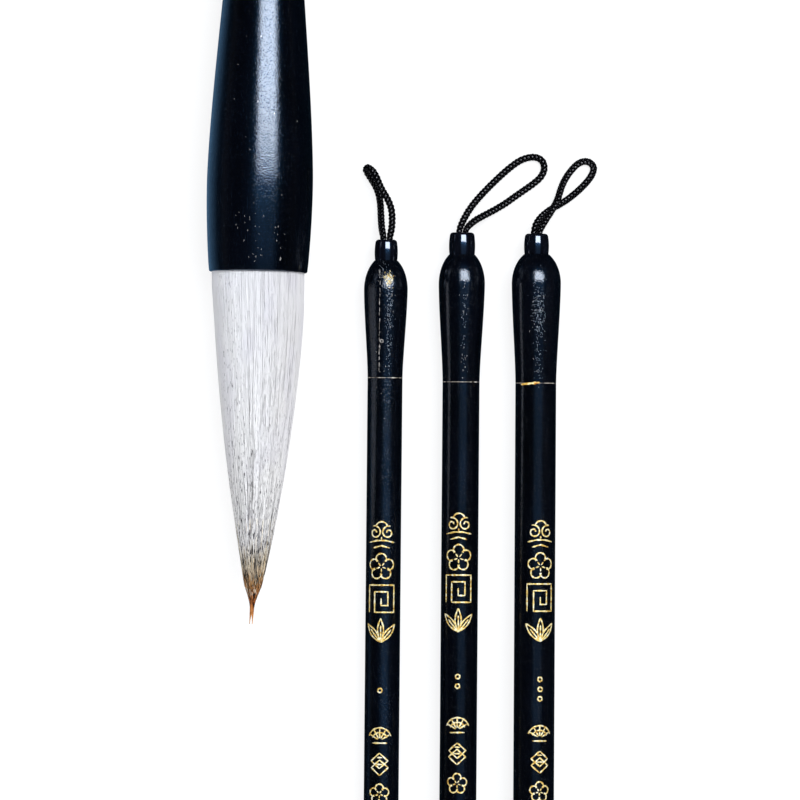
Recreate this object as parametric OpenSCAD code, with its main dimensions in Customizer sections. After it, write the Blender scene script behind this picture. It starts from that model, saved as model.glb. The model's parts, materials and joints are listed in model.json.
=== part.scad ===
// Four writing brushes for ink calligraphy, laid side by side: small, medium, large and giant.
// Each brush lies along Y, its tuft towards -Y, and rests on the bellies of its ferrule and finial.
// In a brush's own frame the ferrule's mouth is at the origin and +Z runs up the handle.

/* [Small brush] */
// Diameter of the small brush's shaft
small_shaft_d = 8.3; // [7.8:0.1:9]
// Length of the small brush's shaft between ferrule and finial
small_shaft_len = 165; // [140:1:190]
// Largest diameter of the small ferrule
small_ferrule_d = 11.4; // [11:0.1:12.4]
// Length of the small ferrule
small_ferrule_len = 31; // [30:0.5:40]
// Diameter of the small tuft at the ferrule's mouth
small_tuft_d = 9.2; // [8.4:0.1:9.4]
// Length of the small tuft outside the ferrule
small_tuft_len = 38; // [30:0.5:46]
// Largest diameter of the small finial
small_finial_d = 10.4; // [9.4:0.1:11]
// Length of the small finial
small_finial_len = 27.9; // [25:0.1:34]
// Diameter of the small collar
small_collar_d = 5.3; // [5.2:0.1:6.4]
// Length of the small collar
small_collar_len = 5; // [3.5:0.1:6]
// Diameter of the tenons on the small shaft and finial
small_tenon_d = 5.4; // [5:0.1:5.8]
// Depth of the small ferrule's cup
small_cup_depth = 14; // [13:0.5:16]
// Place of the small brush's finial seam, right of the medium one's
small_x = -18.1; // [-22:0.1:-16]
// Place of the small brush's finial seam, above the medium one's
small_y = 1; // [-5:0.1:5]
// Lean of the small brush to the right
small_yaw = 0.53; // [0:0.01:1]

/* [Medium brush] */
// Diameter of the medium brush's shaft
medium_shaft_d = 8.8; // [8.2:0.1:9.6]
// Length of the medium brush's shaft between ferrule and finial
medium_shaft_len = 165; // [140:1:190]
// Largest diameter of the medium ferrule
medium_ferrule_d = 12.4; // [12:0.1:13.4]
// Length of the medium ferrule
medium_ferrule_len = 34; // [32:0.5:42]
// Diameter of the medium tuft at the ferrule's mouth
medium_tuft_d = 10.1; // [9.4:0.1:10.4]
// Length of the medium tuft outside the ferrule
medium_tuft_len = 43; // [36:0.5:52]
// Largest diameter of the medium finial
medium_finial_d = 11; // [10:0.1:12]
// Length of the medium finial
medium_finial_len = 30.3; // [25:0.1:34]
// Diameter of the medium collar
medium_collar_d = 6; // [5.4:0.1:7]
// Length of the medium collar
medium_collar_len = 5.3; // [4:0.1:7]
// Diameter of the tenons on the medium shaft and finial
medium_tenon_d = 5.8; // [5:0.1:6.2]
// Depth of the medium ferrule's cup
medium_cup_depth = 15; // [14:0.5:17]
// Lean of the medium brush to the right
medium_yaw = 0.44; // [0:0.01:1]

/* [Large brush] */
// Diameter of the large brush's shaft
large_shaft_d = 9.7; // [9:0.1:10.6]
// Length of the large brush's shaft between ferrule and finial
large_shaft_len = 165; // [140:1:190]
// Largest diameter of the large ferrule
large_ferrule_d = 13.8; // [13.2:0.1:15]
// Length of the large ferrule
large_ferrule_len = 37; // [34:0.5:46]
// Diameter of the large tuft at the ferrule's mouth
large_tuft_d = 11.4; // [10.6:0.1:11.6]
// Length of the large tuft outside the ferrule
large_tuft_len = 49; // [42:0.5:58]
// Largest diameter of the large finial
large_finial_d = 11.7; // [10.8:0.1:12.8]
// Length of the large finial
large_finial_len = 30.7; // [25:0.1:34]
// Diameter of the large collar
large_collar_d = 5.7; // [5.4:0.1:7]
// Length of the large collar
large_collar_len = 4.9; // [4:0.1:7]
// Diameter of the tenons on the large shaft and finial
large_tenon_d = 6.2; // [5:0.1:6.8]
// Depth of the large ferrule's cup
large_cup_depth = 17; // [15:0.5:19]
// Place of the large brush's finial seam, right of the medium one's
large_x = 17.8; // [16:0.1:22]
// Place of the large brush's finial seam, above the medium one's
large_y = -0.3; // [-5:0.1:5]
// Lean of the large brush to the right
large_yaw = 0.31; // [0:0.01:1]

/* [Giant brush] */
// Diameter of the giant brush's shaft
giant_shaft_d = 15.4; // [14:0.1:17]
// Length of the giant brush's shaft between ferrule and finial
giant_shaft_len = 95; // [80:1:130]
// Largest diameter of the giant ferrule
giant_ferrule_d = 25.2; // [24.4:0.1:27]
// Length of the giant ferrule
giant_ferrule_len = 96; // [85:1:110]
// Diameter of the giant tuft at the ferrule's mouth
giant_tuft_d = 21.8; // [20.4:0.1:22]
// Length of the giant tuft outside the ferrule
giant_tuft_len = 83.5; // [70:0.5:95]
// Largest diameter of the giant finial
giant_finial_d = 19; // [17.6:0.1:20]
// Length of the giant finial
giant_finial_len = 40; // [34:0.5:50]
// Diameter of the giant collar
giant_collar_d = 9.6; // [8:0.1:11]
// Length of the giant collar
giant_collar_len = 7; // [5:0.1:9]
// Diameter of the tenons on the giant shaft and finial
giant_tenon_d = 9.5; // [8:0.1:10.5]
// Depth of the giant ferrule's cup
giant_cup_depth = 26; // [24:0.5:30]
// Diameter of the empty cord bore in the giant collar and finial
giant_bore_d = 4.4; // [3.4:0.1:5]
// Place of the giant ferrule's mouth, right of the medium finial's seam
giant_x = -48.2; // [-56:0.1:-46]
// Place of the giant ferrule's mouth, above the medium finial's seam
giant_y = 26; // [10:0.5:40]
// Lean of the giant brush to the right
giant_yaw = 1.15; // [0:0.01:2]

/* [Joints between the pieces] */
// Length of every tenon
tenon_len = 12; // [9:0.5:12]
// Room for the cord's knot below a finial's tenon
knot_room = 8; // [7:0.5:12]
// Radial gap in a glued socket
glue_gap = 0.05; // [0.02:0.01:0.1]
// Wall of a ferrule at its lip
lip_wall = 0.55; // [0.5:0.05:0.7]
// Radius of the rounding on a ferrule's lip
lip_round = 0.45; // [0.2:0.05:0.45]
// Radial gap between a tuft and its ferrule's cup
tuft_gap = 0.25; // [0.2:0.01:0.3]
// Gap between a tuft's round root and the seat it turns in
swing_gap = 0.3; // [0.2:0.05:0.4]
// Width of the rim left round that seat
seat_rim = 0.3; // [0.2:0.05:0.5]
// Thickness of the rosin at the bottom of a cup
rosin_len = 2; // [1:0.5:3]
// Thickness of the backing that a tuft's hairs stand on
backing_len = 0.8; // [0.6:0.1:1.2]

/* [Cord and collar] */
// Diameter of the hanging cord
cord_d = 1.4; // [1.2:0.05:1.4]
// Gap between the cord's two strands in the bore
strand_gap = 0.04; // [0.02:0.01:0.1]
// Gap between the pair of strands and the bore
cord_gap = 0.18; // [0.15:0.01:0.25]
// Diameter of the cord's knot
knot_d = 4.2; // [3.8:0.1:4.6]
// Length of the cord's knot
knot_len = 4.4; // [3.6:0.1:5.5]
// Length over which the knot's ends narrow to the pair of strands
knot_end_len = 1.2; // [0.8:0.1:1.6]
// Length of the cut ends below the knot
knot_ends_len = 2; // [1:0.5:3]
// Wall of a collar's spigot
spigot_wall = 0.4; // [0.3:0.05:0.5]
// Length of a collar's spigot
spigot_len = 3; // [2:0.5:5]
// Depth and width of the bevel in a collar's mouth
bevel = 0.4; // [0.3:0.05:0.5]
// Radius of the rounding on a collar's top edge
collar_round = 0.5; // [0.2:0.05:0.5]
// Width of the ledge round a collar's foot
ledge = 0.1; // [0.05:0.05:0.3]
// Distance from the top of a finial to its belly
finial_belly = 7; // [6:0.5:9]

/* [Hidden] */

// Indices of the brushes in the lists of sizes
SMALL = 0;
MEDIUM = 1;
LARGE = 2;
GIANT = 3;

shaft_d = [small_shaft_d, medium_shaft_d, large_shaft_d, giant_shaft_d];
shaft_len = [small_shaft_len, medium_shaft_len, large_shaft_len, giant_shaft_len];
ferrule_d = [small_ferrule_d, medium_ferrule_d, large_ferrule_d, giant_ferrule_d];
ferrule_len = [small_ferrule_len, medium_ferrule_len, large_ferrule_len, giant_ferrule_len];
tuft_d = [small_tuft_d, medium_tuft_d, large_tuft_d, giant_tuft_d];
tuft_len = [small_tuft_len, medium_tuft_len, large_tuft_len, giant_tuft_len];
finial_d = [small_finial_d, medium_finial_d, large_finial_d, giant_finial_d];
finial_len = [small_finial_len, medium_finial_len, large_finial_len, giant_finial_len];
collar_d = [small_collar_d, medium_collar_d, large_collar_d, giant_collar_d];
collar_len = [small_collar_len, medium_collar_len, large_collar_len, giant_collar_len];
tenon_d = [small_tenon_d, medium_tenon_d, large_tenon_d, giant_tenon_d];
cup_depth = [small_cup_depth, medium_cup_depth, large_cup_depth, giant_cup_depth];
yaw = [small_yaw, medium_yaw, large_yaw, giant_yaw];

// Cord bore: two strands side by side and the gap round them
pair_r = cord_d + strand_gap / 2;
cord_bore_d = 2 * (pair_r + cord_gap);
bore_d = [cord_bore_d, cord_bore_d, cord_bore_d, giant_bore_d];

// Colours
LACQUER = [0.02, 0.02, 0.03];
HORN = [0.04, 0.04, 0.06];
CORD = [0.05, 0.04, 0.05];
WHITE_HAIR = [0.9, 0.9, 0.93];
BROWN_HAIR = [0.55, 0.32, 0.14];
ROSIN = [0.45, 0.25, 0.08];
THREAD = [0.75, 0.68, 0.55];

// Segments round a turned piece
round_fn = 64;
// Steps along a turned piece's curved outline, and along a finial's shoulder
outline_steps = 18;
shoulder_steps = 12;
// Overlap that keeps a cut clear of the face it opens
cut = 0.01;

// A swell falls from 1 at its belly to 0 at its end, slowly first and last
swell_power = 1.5;
function swell(u) = pow(1 - pow(u, swell_power), swell_power);

// A ferrule's belly lies this share of its length from the mouth
ferrule_belly_share = 0.22;
function ferrule_belly(i) = ferrule_belly_share * ferrule_len[i];
function cup_r(i) = tuft_d[i] / 2 + tuft_gap;
function lip_r(i) = cup_r(i) + lip_wall;

// Radius of a ferrule at the distance z from its mouth
function ferrule_r(i, z) =
    let (belly_z = ferrule_belly(i), belly_r = ferrule_d[i] / 2, neck_r = shaft_d[i] / 2)
    z < belly_z
        ? belly_r - (belly_r - lip_r(i)) * pow(1 - z / belly_z, 2)
        : neck_r + (belly_r - neck_r) * swell((z - belly_z) / (ferrule_len[i] - belly_z));

// Radius of a finial at the distance z from its seam with the shaft. Above its belly it is a cut ellipsoid.
function finial_r(i, z) =
    let (
        belly_z = finial_len[i] - finial_belly,
        belly_r = finial_d[i] / 2,
        foot_r = shaft_d[i] / 2,
        top_r = collar_d[i] / 2 + ledge
    )
    z < belly_z
        ? foot_r + (belly_r - foot_r) * swell(1 - z / belly_z)
        : belly_r * sqrt(1 - (1 - pow(top_r / belly_r, 2)) * pow((z - belly_z) / finial_belly, 2));

// Heights along a brush, from its mouth
function seam_z(i) = ferrule_len[i] + shaft_len[i];
function collar_z(i) = seam_z(i) + finial_len[i];
function top_z(i) = collar_z(i) + collar_len[i];
function finial_belly_z(i) = collar_z(i) - finial_belly;

// A brush tilts so that both of its bellies touch the surface it lies on
function tilt(i) = asin((ferrule_d[i] - finial_d[i]) / 2 / (finial_belly_z(i) - ferrule_belly(i)));
function height(i, z) = ferrule_d[i] / 2 + (ferrule_belly(i) - z) * sin(tilt(i));
function heading(i) = [sin(yaw[i]), cos(yaw[i])];

// Where each mouth lies, measured from the medium finial's seam
function seam_to_mouth(i, seam) = seam - seam_z(i) * cos(tilt(i)) * heading(i);
mouth_xy = [
    seam_to_mouth(SMALL, [small_x, small_y]), seam_to_mouth(MEDIUM, [0, 0]),
    seam_to_mouth(LARGE, [large_x, large_y]), [giant_x, giant_y]
];
function axis_xy(i, z) = mouth_xy[i] + z * cos(tilt(i)) * heading(i);

// The origin lies under the middle of the set, cords left out
left_edge = min([for (i = [SMALL : GIANT]) min(
    axis_xy(i, ferrule_belly(i)).x - ferrule_d[i] / 2, axis_xy(i, finial_belly_z(i)).x - finial_d[i] / 2)]);
right_edge = max([for (i = [SMALL : GIANT]) max(
    axis_xy(i, ferrule_belly(i)).x + ferrule_d[i] / 2, axis_xy(i, finial_belly_z(i)).x + finial_d[i] / 2)]);
near_edge = min([for (i = [SMALL : GIANT]) axis_xy(i, -tuft_len[i]).y]);
far_edge = max([for (i = [SMALL : GIANT]) axis_xy(i, top_z(i)).y]);
middle = [left_edge + right_edge, near_edge + far_edge] / 2;

// Points in the set's frame: on a brush's axis, and the end of its cord bore
function on_axis(i, z) = [axis_xy(i, z).x - middle.x, axis_xy(i, z).y - middle.y, height(i, z)];
function cord_exit(i) = on_axis(i, top_z(i));

module lay(i) {
    translate(on_axis(i, 0)) rotate([0, 0, -yaw[i]]) rotate([-90 - tilt(i), 0, 0]) children();
}

// A turned solid from an outline of [radius, height] points, closed along its axis
module turned(outline) {
    last = len(outline) - 1;
    rotate_extrude($fn = round_fn)
        polygon(concat([[0, outline[0].y]], outline, [[0, outline[last].y]]));
}

// A hole along the axis, from one height up by a length
module drilled(z, d, length) {
    translate([0, 0, z]) cylinder(d = d, h = length, $fn = round_fn);
}

module shaft(i) {
    socket_len = tenon_len + knot_room;
    lay(i) color(LACQUER) difference() {
        union() {
            drilled(ferrule_len[i], shaft_d[i], shaft_len[i]);
            drilled(ferrule_len[i] - tenon_len, tenon_d[i], tenon_len + cut);
        }
        drilled(seam_z(i) - socket_len, tenon_d[i] + 2 * glue_gap, socket_len + cut);
    }
}

module ferrule(i) {
    lip = [for (a = [0 : 30 : 60]) [
        lip_r(i) - lip_round * (1 - sin(a)), lip_round * (1 - cos(a))]];
    side = [for (s = [0 : outline_steps]) let (
            z = lip_round + (ferrule_len[i] - lip_round) * s / outline_steps)
        [ferrule_r(i, z), z]];
    lay(i) color(LACQUER) difference() {
        turned(concat(lip, side));
        drilled(-cut, 2 * cup_r(i), cup_depth[i] + cut);
        drilled(ferrule_len[i] - tenon_len - glue_gap, tenon_d[i] + 2 * glue_gap,
            tenon_len + glue_gap + cut);
    }
}

module finial(i) {
    belly_z = finial_len[i] - finial_belly;
    taper = [for (s = [0 : outline_steps]) let (z = belly_z * s / outline_steps) [finial_r(i, z), z]];
    shoulder = [for (s = [1 : shoulder_steps]) let (z = belly_z + finial_belly * s / shoulder_steps)
        [finial_r(i, z), z]];
    lay(i) translate([0, 0, seam_z(i)]) color(LACQUER) difference() {
        union() {
            turned(concat(taper, shoulder));
            drilled(-tenon_len, tenon_d[i], tenon_len + cut);
        }
        drilled(-tenon_len - cut, bore_d[i], tenon_len + finial_len[i] + 2 * cut);
        drilled(finial_len[i] - spigot_len - glue_gap, bore_d[i] + 2 * (spigot_wall + glue_gap),
            spigot_len + glue_gap + cut);
    }
}

module collar(i) {
    top_edge = [for (a = [0 : 15 : 90]) [
        collar_d[i] / 2 - collar_round * (1 - cos(a)), collar_len[i] - collar_round * (1 - sin(a))]];
    lay(i) translate([0, 0, collar_z(i)]) color(HORN) difference() {
        union() {
            turned(concat([[collar_d[i] / 2, 0]], top_edge));
            drilled(-spigot_len, bore_d[i] + 2 * spigot_wall, spigot_len + cut);
        }
        drilled(-spigot_len - cut, bore_d[i], spigot_len + collar_len[i] + 2 * cut);
        translate([0, 0, collar_len[i] - bevel])
            cylinder(d1 = bore_d[i], d2 = bore_d[i] + 2 * bevel, h = bevel + cut, $fn = round_fn);
    }
}

// The cord's hidden end: two strands in the bore and the knot that holds them below the tenon
strand_x = (cord_d + strand_gap) / 2;
strand_start = sqrt(pow(pair_r, 2) + pow(cord_gap + cord_d / 4, 2)) + cord_gap;
knot_end_r = pair_r + strand_gap;
module cord_knot(i) {
    knot_top = seam_z(i) - tenon_len - glue_gap;
    knot_foot = knot_top - knot_len;
    lay(i) color(CORD) union() {
        turned([
            [knot_end_r, knot_foot], [knot_d / 2, knot_foot + knot_end_len],
            [knot_d / 2, knot_top - knot_end_len], [knot_end_r, knot_top]]);
        for (side = [-1, 1]) translate([side * strand_x, 0, 0])
            drilled(knot_foot - knot_ends_len, cord_d,
                top_z(i) - strand_start - knot_foot + knot_ends_len);
    }
}

// The cord loops. A route runs from one strand's end in the bore round to the other's, measured from
// the cord exit: right, away from the brush, and up.
small_route = [
    [0.72, -0.5, 0], [0.9, 0.9, 0], [1.3, 2.6, 0.1], [1.5, 4.6, 0.2], [1.4, 6.6, 0.3], [0.9, 8.4, 0.4],
    [0.1, 10, 0.5], [-0.9, 11.6, 0.5], [-1.7, 13.1, 0.5], [-2.5, 14.6, 0.3], [-3.4, 16.1, -0.3],
    [-4.1, 17.1, -1.3], [-4.4, 17.4, -2.3], [-4.5, 17.1, -3.4], [-4.2, 16.1, -4.2], [-3.5, 14.7, -4.4],
    [-2.8, 13.3, -4.4], [-2.2, 11.8, -4.4], [-1.8, 10.2, -4.2], [-1.6, 8.4, -3.6], [-1.5, 6.4, -2.6],
    [-1.4, 4.5, -1.6], [-1.2, 2.6, -0.6], [-0.8, 0.9, -0.1], [-0.72, -0.5, 0]
];
medium_route = [
    [-0.72, -0.5, 0], [-0.65, 0.8, 0], [-0.1, 2.4, -0.5], [0.9, 4.4, -1.4], [2.3, 6.5, -2.5],
    [4.4, 8.9, -3.6], [6.8, 11.4, -4.4], [9.2, 13.7, -4.7], [11.5, 15.7, -4.7], [13.8, 17.3, -4.7],
    [16.1, 18.2, -4.7], [18.1, 18.1, -4.7], [19.5, 17, -4.7], [19.9, 15.2, -4.7], [18.9, 13.4, -4.7],
    [17.1, 12, -4.7], [14.9, 10.7, -4.7], [12.5, 9.2, -4.7], [9.9, 7.6, -4.5], [7.4, 6.2, -3.9],
    [5.1, 4.8, -2.8], [3.2, 3.3, -1.5], [1.6, 1.7, -0.4], [0.9, 0.6, 0], [0.72, -0.5, 0]
];
large_route = [
    [-0.72, -0.5, 0], [-0.6, 0.8, 0], [-0.2, 2.3, -0.5], [0.8, 3.9, -1.5], [2.3, 5.2, -2.7],
    [3.9, 6.2, -3.5], [5.6, 7.1, -4.1], [7.2, 8.1, -4.7], [8.9, 9.4, -5], [10.6, 10.9, -5],
    [12.2, 12.6, -5], [13.4, 14.3, -5], [13.8, 16, -5], [13, 17.4, -5], [11.4, 17.9, -5],
    [9.8, 17.2, -5], [8.5, 15.8, -5], [7.4, 14.1, -4.9], [6.5, 12.3, -4.3], [5.8, 10.4, -3.3],
    [5.1, 8.4, -2.3], [4.3, 6.7, -1.8], [3.3, 5, -1.2], [2.2, 3.3, -0.6], [1.2, 1.6, -0.1],
    [0.78, 0.6, 0], [0.72, -0.5, 0]
];

// Sides of a cord's tube
cord_sides = 8;
function unit(v) = v / norm(v);
function along(route, j) = unit(route[min(j + 1, len(route) - 1)] - route[max(j - 1, 0)]);

// A tube along a route. Across is a direction that the route never follows.
module cord_tube(route, across) {
    rings = len(route);
    points = [for (j = [0 : rings - 1]) let (
            out = unit(cross(along(route, j), across)),
            up = cross(along(route, j), out)
        ) for (s = [0 : cord_sides - 1])
            route[j] + cord_d / 2 * (cos(360 * s / cord_sides) * out + sin(360 * s / cord_sides) * up)];
    sides = [for (j = [0 : rings - 2]) for (s = [0 : cord_sides - 1]) let (
            a = j * cord_sides + s,
            b = j * cord_sides + (s + 1) % cord_sides
        ) each [[a, a + cord_sides, b + cord_sides], [a, b + cord_sides, b]]];
    start = [for (s = [1 : cord_sides - 2]) [0, s, s + 1]];
    last = (rings - 1) * cord_sides;
    end = [for (s = [1 : cord_sides - 2]) [last, last + s + 1, last + s]];
    polyhedron(points = points, faces = concat(sides, start, end));
}

module cord_loop(i, route, across) {
    color(CORD) translate(cord_exit(i)) cord_tube(route, across);
}

module rosin(i) {
    lay(i) color(ROSIN)
        drilled(cup_depth[i] - rosin_len, 2 * (cup_r(i) - glue_gap), rosin_len);
}

// Thread is bound round the hair root, in a groove halfway down it
binding_len = 2;
binding_depth = 0.6;
function root_r(i) = cup_r(i) - glue_gap;
function seat_r(i) = tuft_d[i] / 2 + swing_gap;
function root_start(i) = sqrt(pow(seat_r(i), 2) - pow(root_r(i) - seat_rim, 2));
function binding_z(i) = (cup_depth[i] - rosin_len + seat_r(i)) / 2 - binding_len / 2;

module binding(i) {
    lay(i) color(THREAD) difference() {
        drilled(binding_z(i), 2 * root_r(i), binding_len);
        drilled(binding_z(i) - cut, 2 * (root_r(i) - binding_depth), binding_len + 2 * cut);
    }
}

module hair_root(i) {
    lay(i) color(WHITE_HAIR) difference() {
        drilled(root_start(i), 2 * root_r(i), cup_depth[i] - rosin_len - root_start(i));
        sphere(r = seat_r(i), $fn = round_fn);
        difference() {
            drilled(binding_z(i), 2 * (root_r(i) + cut), binding_len);
            drilled(binding_z(i) - cut, 2 * (root_r(i) - binding_depth), binding_len + 2 * cut);
        }
    }
}

// The tuft narrows from 1 at the mouth to 0 at its tip
tuft_power = 1.65;
function fullness(t) = 1 - pow(t, tuft_power);

// Hairs stand on the cells of a round lattice, between an inner ring and the outer one
outer_ring = [3, 3, 3, 6];
inner_ring = [1, 1, 1, 3];
// Share of the inner ring's radius that the core fills, and of the tuft's length that the hairs reach
core_fill = 0.85;
cover_share = 0.88;
// Steps along the core, and the heights of a hair's sections as shares of its length
core_steps = 12;
hair_sections = [0, 0.42, 0.74, 1];
// How much of its cell a hair fills at each of those sections
hair_fill = [0.84, 0.78, 0.66, 0.4];

// The core and the round root that it grows from, which turns in the hair root's seat
module tuft_core(i) {
    core_r = core_fill * tuft_d[i] / 2 * inner_ring[i] / outer_ring[i];
    half = tuft_d[i] / 2;
    lay(i) color(BROWN_HAIR) union() {
        difference() {
            sphere(r = half, $fn = round_fn);
            translate([-half - 1, -half - 1, -half - 1]) cube([2 * half + 2, 2 * half + 2, half + 1]);
        }
        turned([for (s = [core_steps : -1 : 0]) [
            max(0.05, core_r * fullness(s / core_steps)), -tuft_len[i] * s / core_steps + cut]]);
    }
}

module tuft_cover(i) {
    outer = outer_ring[i];
    inner = inner_ring[i];
    cell_r = tuft_d[i] / 2 / outer;
    reach = cover_share * tuft_len[i];
    sections = len(hair_sections);

    // Places on the lattice, numbered ring by ring
    function place(ring, j) = 3 * ring * (ring - 1) - 3 * inner * (inner - 1) + (j % (6 * ring));
    places = [for (ring = [inner : outer]) for (j = [0 : 6 * ring - 1])
        cell_r * ring * [cos(60 * j / ring), sin(60 * j / ring)]];
    cells = [for (ring = [inner : outer - 1]) for (s = [0 : 5]) each concat(
        [for (j = [0 : ring]) [place(ring + 1, s * (ring + 1) + j), place(ring + 1, s * (ring + 1) + j + 1),
            place(ring, s * ring + j)]],
        [for (j = [0 : ring - 1]) [place(ring, s * ring + j), place(ring + 1, s * (ring + 1) + j + 1),
            place(ring, s * ring + j + 1)]])];

    n = len(places);
    hairs = 2 * n;
    back = [for (p = places) [p.x, p.y, 0]];
    front = [for (p = places) [p.x, p.y, -backing_len]];
    hair_points = [for (c = cells) let (mid = (places[c[0]] + places[c[1]] + places[c[2]]) / 3)
        for (k = [0 : sections - 1]) let (
            t = hair_sections[k] * cover_share,
            z = -backing_len - hair_sections[k] * (reach - backing_len)
        ) for (v = c) let (p = fullness(t) * (mid + hair_fill[k] * (places[v] - mid))) [p.x, p.y, z]];

    back_faces = [for (c = cells) [c[0], c[2], c[1]]];
    hair_faces = [for (h = [0 : len(cells) - 1]) let (first = hairs + 3 * sections * h, c = cells[h])
        each concat(
            [for (e = [0 : 2]) let (f = (e + 1) % 3)
                each [[n + c[e], n + c[f], first + f], [n + c[e], first + f, first + e]]],
            [for (k = [0 : sections - 2]) for (e = [0 : 2]) let (
                    f = (e + 1) % 3,
                    a = first + 3 * k
                ) each [[a + e, a + f, a + 3 + f], [a + e, a + 3 + f, a + 3 + e]]],
            [[first + 3 * (sections - 1), first + 3 * (sections - 1) + 1, first + 3 * (sections - 1) + 2]])];
    outer_wall = [for (j = [0 : 6 * outer - 1]) let (a = place(outer, j), b = place(outer, j + 1))
        each [[a, b, n + b], [a, n + b, n + a]]];
    inner_wall = [for (j = [0 : 6 * inner - 1]) let (a = place(inner, j), b = place(inner, j + 1))
        each [[b, a, n + a], [b, n + a, n + b]]];

    lay(i) color(WHITE_HAIR) polyhedron(
        points = concat(back, front, hair_points),
        faces = concat(back_faces, hair_faces, outer_wall, inner_wall));
}

// Where the joints turn
for (i = [SMALL : GIANT]) {
    echo(mouth = on_axis(i, 0), exit = cord_exit(i), yaw = yaw[i], tilt = tilt(i));
}

shaft(SMALL);  // small_shaft
ferrule(SMALL);  // small_ferrule
finial(SMALL);  // small_finial
collar(SMALL);  // small_collar
cord_knot(SMALL);  // small_cord_knot
cord_loop(SMALL, small_route, [1, 0.4, 0]);  // small_cord_loop
rosin(SMALL);  // small_rosin
binding(SMALL);  // small_binding
hair_root(SMALL);  // small_hair_root
tuft_core(SMALL);  // small_tuft_core
tuft_cover(SMALL);  // small_tuft_cover
shaft(MEDIUM);  // medium_shaft
ferrule(MEDIUM);  // medium_ferrule
finial(MEDIUM);  // medium_finial
collar(MEDIUM);  // medium_collar
cord_knot(MEDIUM);  // medium_cord_knot
cord_loop(MEDIUM, medium_route, [0, 0, 1]);  // medium_cord_loop
rosin(MEDIUM);  // medium_rosin
binding(MEDIUM);  // medium_binding
hair_root(MEDIUM);  // medium_hair_root
tuft_core(MEDIUM);  // medium_tuft_core
tuft_cover(MEDIUM);  // medium_tuft_cover
shaft(LARGE);  // large_shaft
ferrule(LARGE);  // large_ferrule
finial(LARGE);  // large_finial
collar(LARGE);  // large_collar
cord_knot(LARGE);  // large_cord_knot
cord_loop(LARGE, large_route, [0, 0, 1]);  // large_cord_loop
rosin(LARGE);  // large_rosin
binding(LARGE);  // large_binding
hair_root(LARGE);  // large_hair_root
tuft_core(LARGE);  // large_tuft_core
tuft_cover(LARGE);  // large_tuft_cover
shaft(GIANT);  // giant_shaft
ferrule(GIANT);  // giant_ferrule
finial(GIANT);  // giant_finial
collar(GIANT);  // giant_collar
rosin(GIANT);  // giant_rosin
binding(GIANT);  // giant_binding
hair_root(GIANT);  // giant_hair_root
tuft_core(GIANT);  // giant_tuft_core
tuft_cover(GIANT);  // giant_tuft_cover
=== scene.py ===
"""Four lacquered writing brushes for ink calligraphy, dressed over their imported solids.

Each brush has a frame of its own, in millimetres, from the middle of its ferrule's mouth: X across it to
the right, Y up its handle and Z upwards. All else is in metres, in the set's frame.
"""

from __future__ import annotations

import json
import logging
import math
import random
from collections.abc import Callable, Sequence
from dataclasses import dataclass, field
from enum import Enum
from typing import Any

import bpy
from mathutils import Matrix, Vector, noise

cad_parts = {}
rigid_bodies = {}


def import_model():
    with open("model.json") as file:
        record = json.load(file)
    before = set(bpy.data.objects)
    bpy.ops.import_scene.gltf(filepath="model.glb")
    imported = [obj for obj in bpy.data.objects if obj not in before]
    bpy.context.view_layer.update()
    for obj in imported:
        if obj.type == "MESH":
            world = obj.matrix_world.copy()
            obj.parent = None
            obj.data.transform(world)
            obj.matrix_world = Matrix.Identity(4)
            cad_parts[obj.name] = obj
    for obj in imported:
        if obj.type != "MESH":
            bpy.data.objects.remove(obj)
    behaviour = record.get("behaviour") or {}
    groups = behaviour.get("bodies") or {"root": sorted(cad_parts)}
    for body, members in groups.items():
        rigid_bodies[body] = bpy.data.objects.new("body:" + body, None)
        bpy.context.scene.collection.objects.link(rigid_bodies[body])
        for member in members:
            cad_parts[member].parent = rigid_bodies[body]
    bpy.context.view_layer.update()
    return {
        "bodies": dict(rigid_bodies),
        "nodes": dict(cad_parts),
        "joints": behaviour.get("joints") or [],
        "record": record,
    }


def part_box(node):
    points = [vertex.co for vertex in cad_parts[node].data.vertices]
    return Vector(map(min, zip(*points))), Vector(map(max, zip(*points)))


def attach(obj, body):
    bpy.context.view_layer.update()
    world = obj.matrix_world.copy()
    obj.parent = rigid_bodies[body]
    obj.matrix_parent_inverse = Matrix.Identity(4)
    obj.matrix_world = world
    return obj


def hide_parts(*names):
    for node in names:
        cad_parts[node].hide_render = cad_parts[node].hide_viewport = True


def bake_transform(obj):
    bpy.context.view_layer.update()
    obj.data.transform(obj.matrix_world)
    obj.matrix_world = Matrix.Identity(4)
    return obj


LOG = logging.getLogger("brushes")
MM = 0.001
TURN = 2 * math.pi
# Where the giant ferrule's mouth lies from the photograph's middle, to the right and up, in millimetres.
GIANT_MOUTH_MM = (-33.67, 30.3)
# Each hair stands this far on from the last one round a tuft, in radians, so that no two line up.
GOLDEN_ANGLE = 2.399963
# How a tuft narrows from its mouth to its tip.
TUFT_POWER = 1.65
# Black lacquer and black horn shine with this cast under their coat.
BLUE_SHINE = "6FB0F4"
# What lies on the lacquer: how wide its lines are and how far they stand out, in millimetres.
DUST_LINES = (0.11, 0.012)
PAINTED_GLINT_LINES = (0.085, 0.01)
HIGHLIGHT_POWDER_LINES = (0.2, 0.012)
GILT_HEIGHT = 0.03

Tree = bpy.types.NodeTree
Socket = bpy.types.NodeSocket
Node = bpy.types.Node
Mesh = bpy.types.Mesh
Material = bpy.types.Material
Piece = bpy.types.Object
Inputs = dict[str | int, Any]
Values = dict[str, float | int]
Joints = Sequence[dict[str, Any]]
Point = tuple[float, float, float]
Route = Sequence[Point]
Stroke = list[tuple[float, float]]
Outline = list[tuple[float, float]]
# A spot of dust, powder or painted glints: its distance round the handle, its place along it, its spread each
# way and its count.
Spot = tuple[float, float, float, float, int]
Stops = tuple[tuple[float, str], ...]


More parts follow.
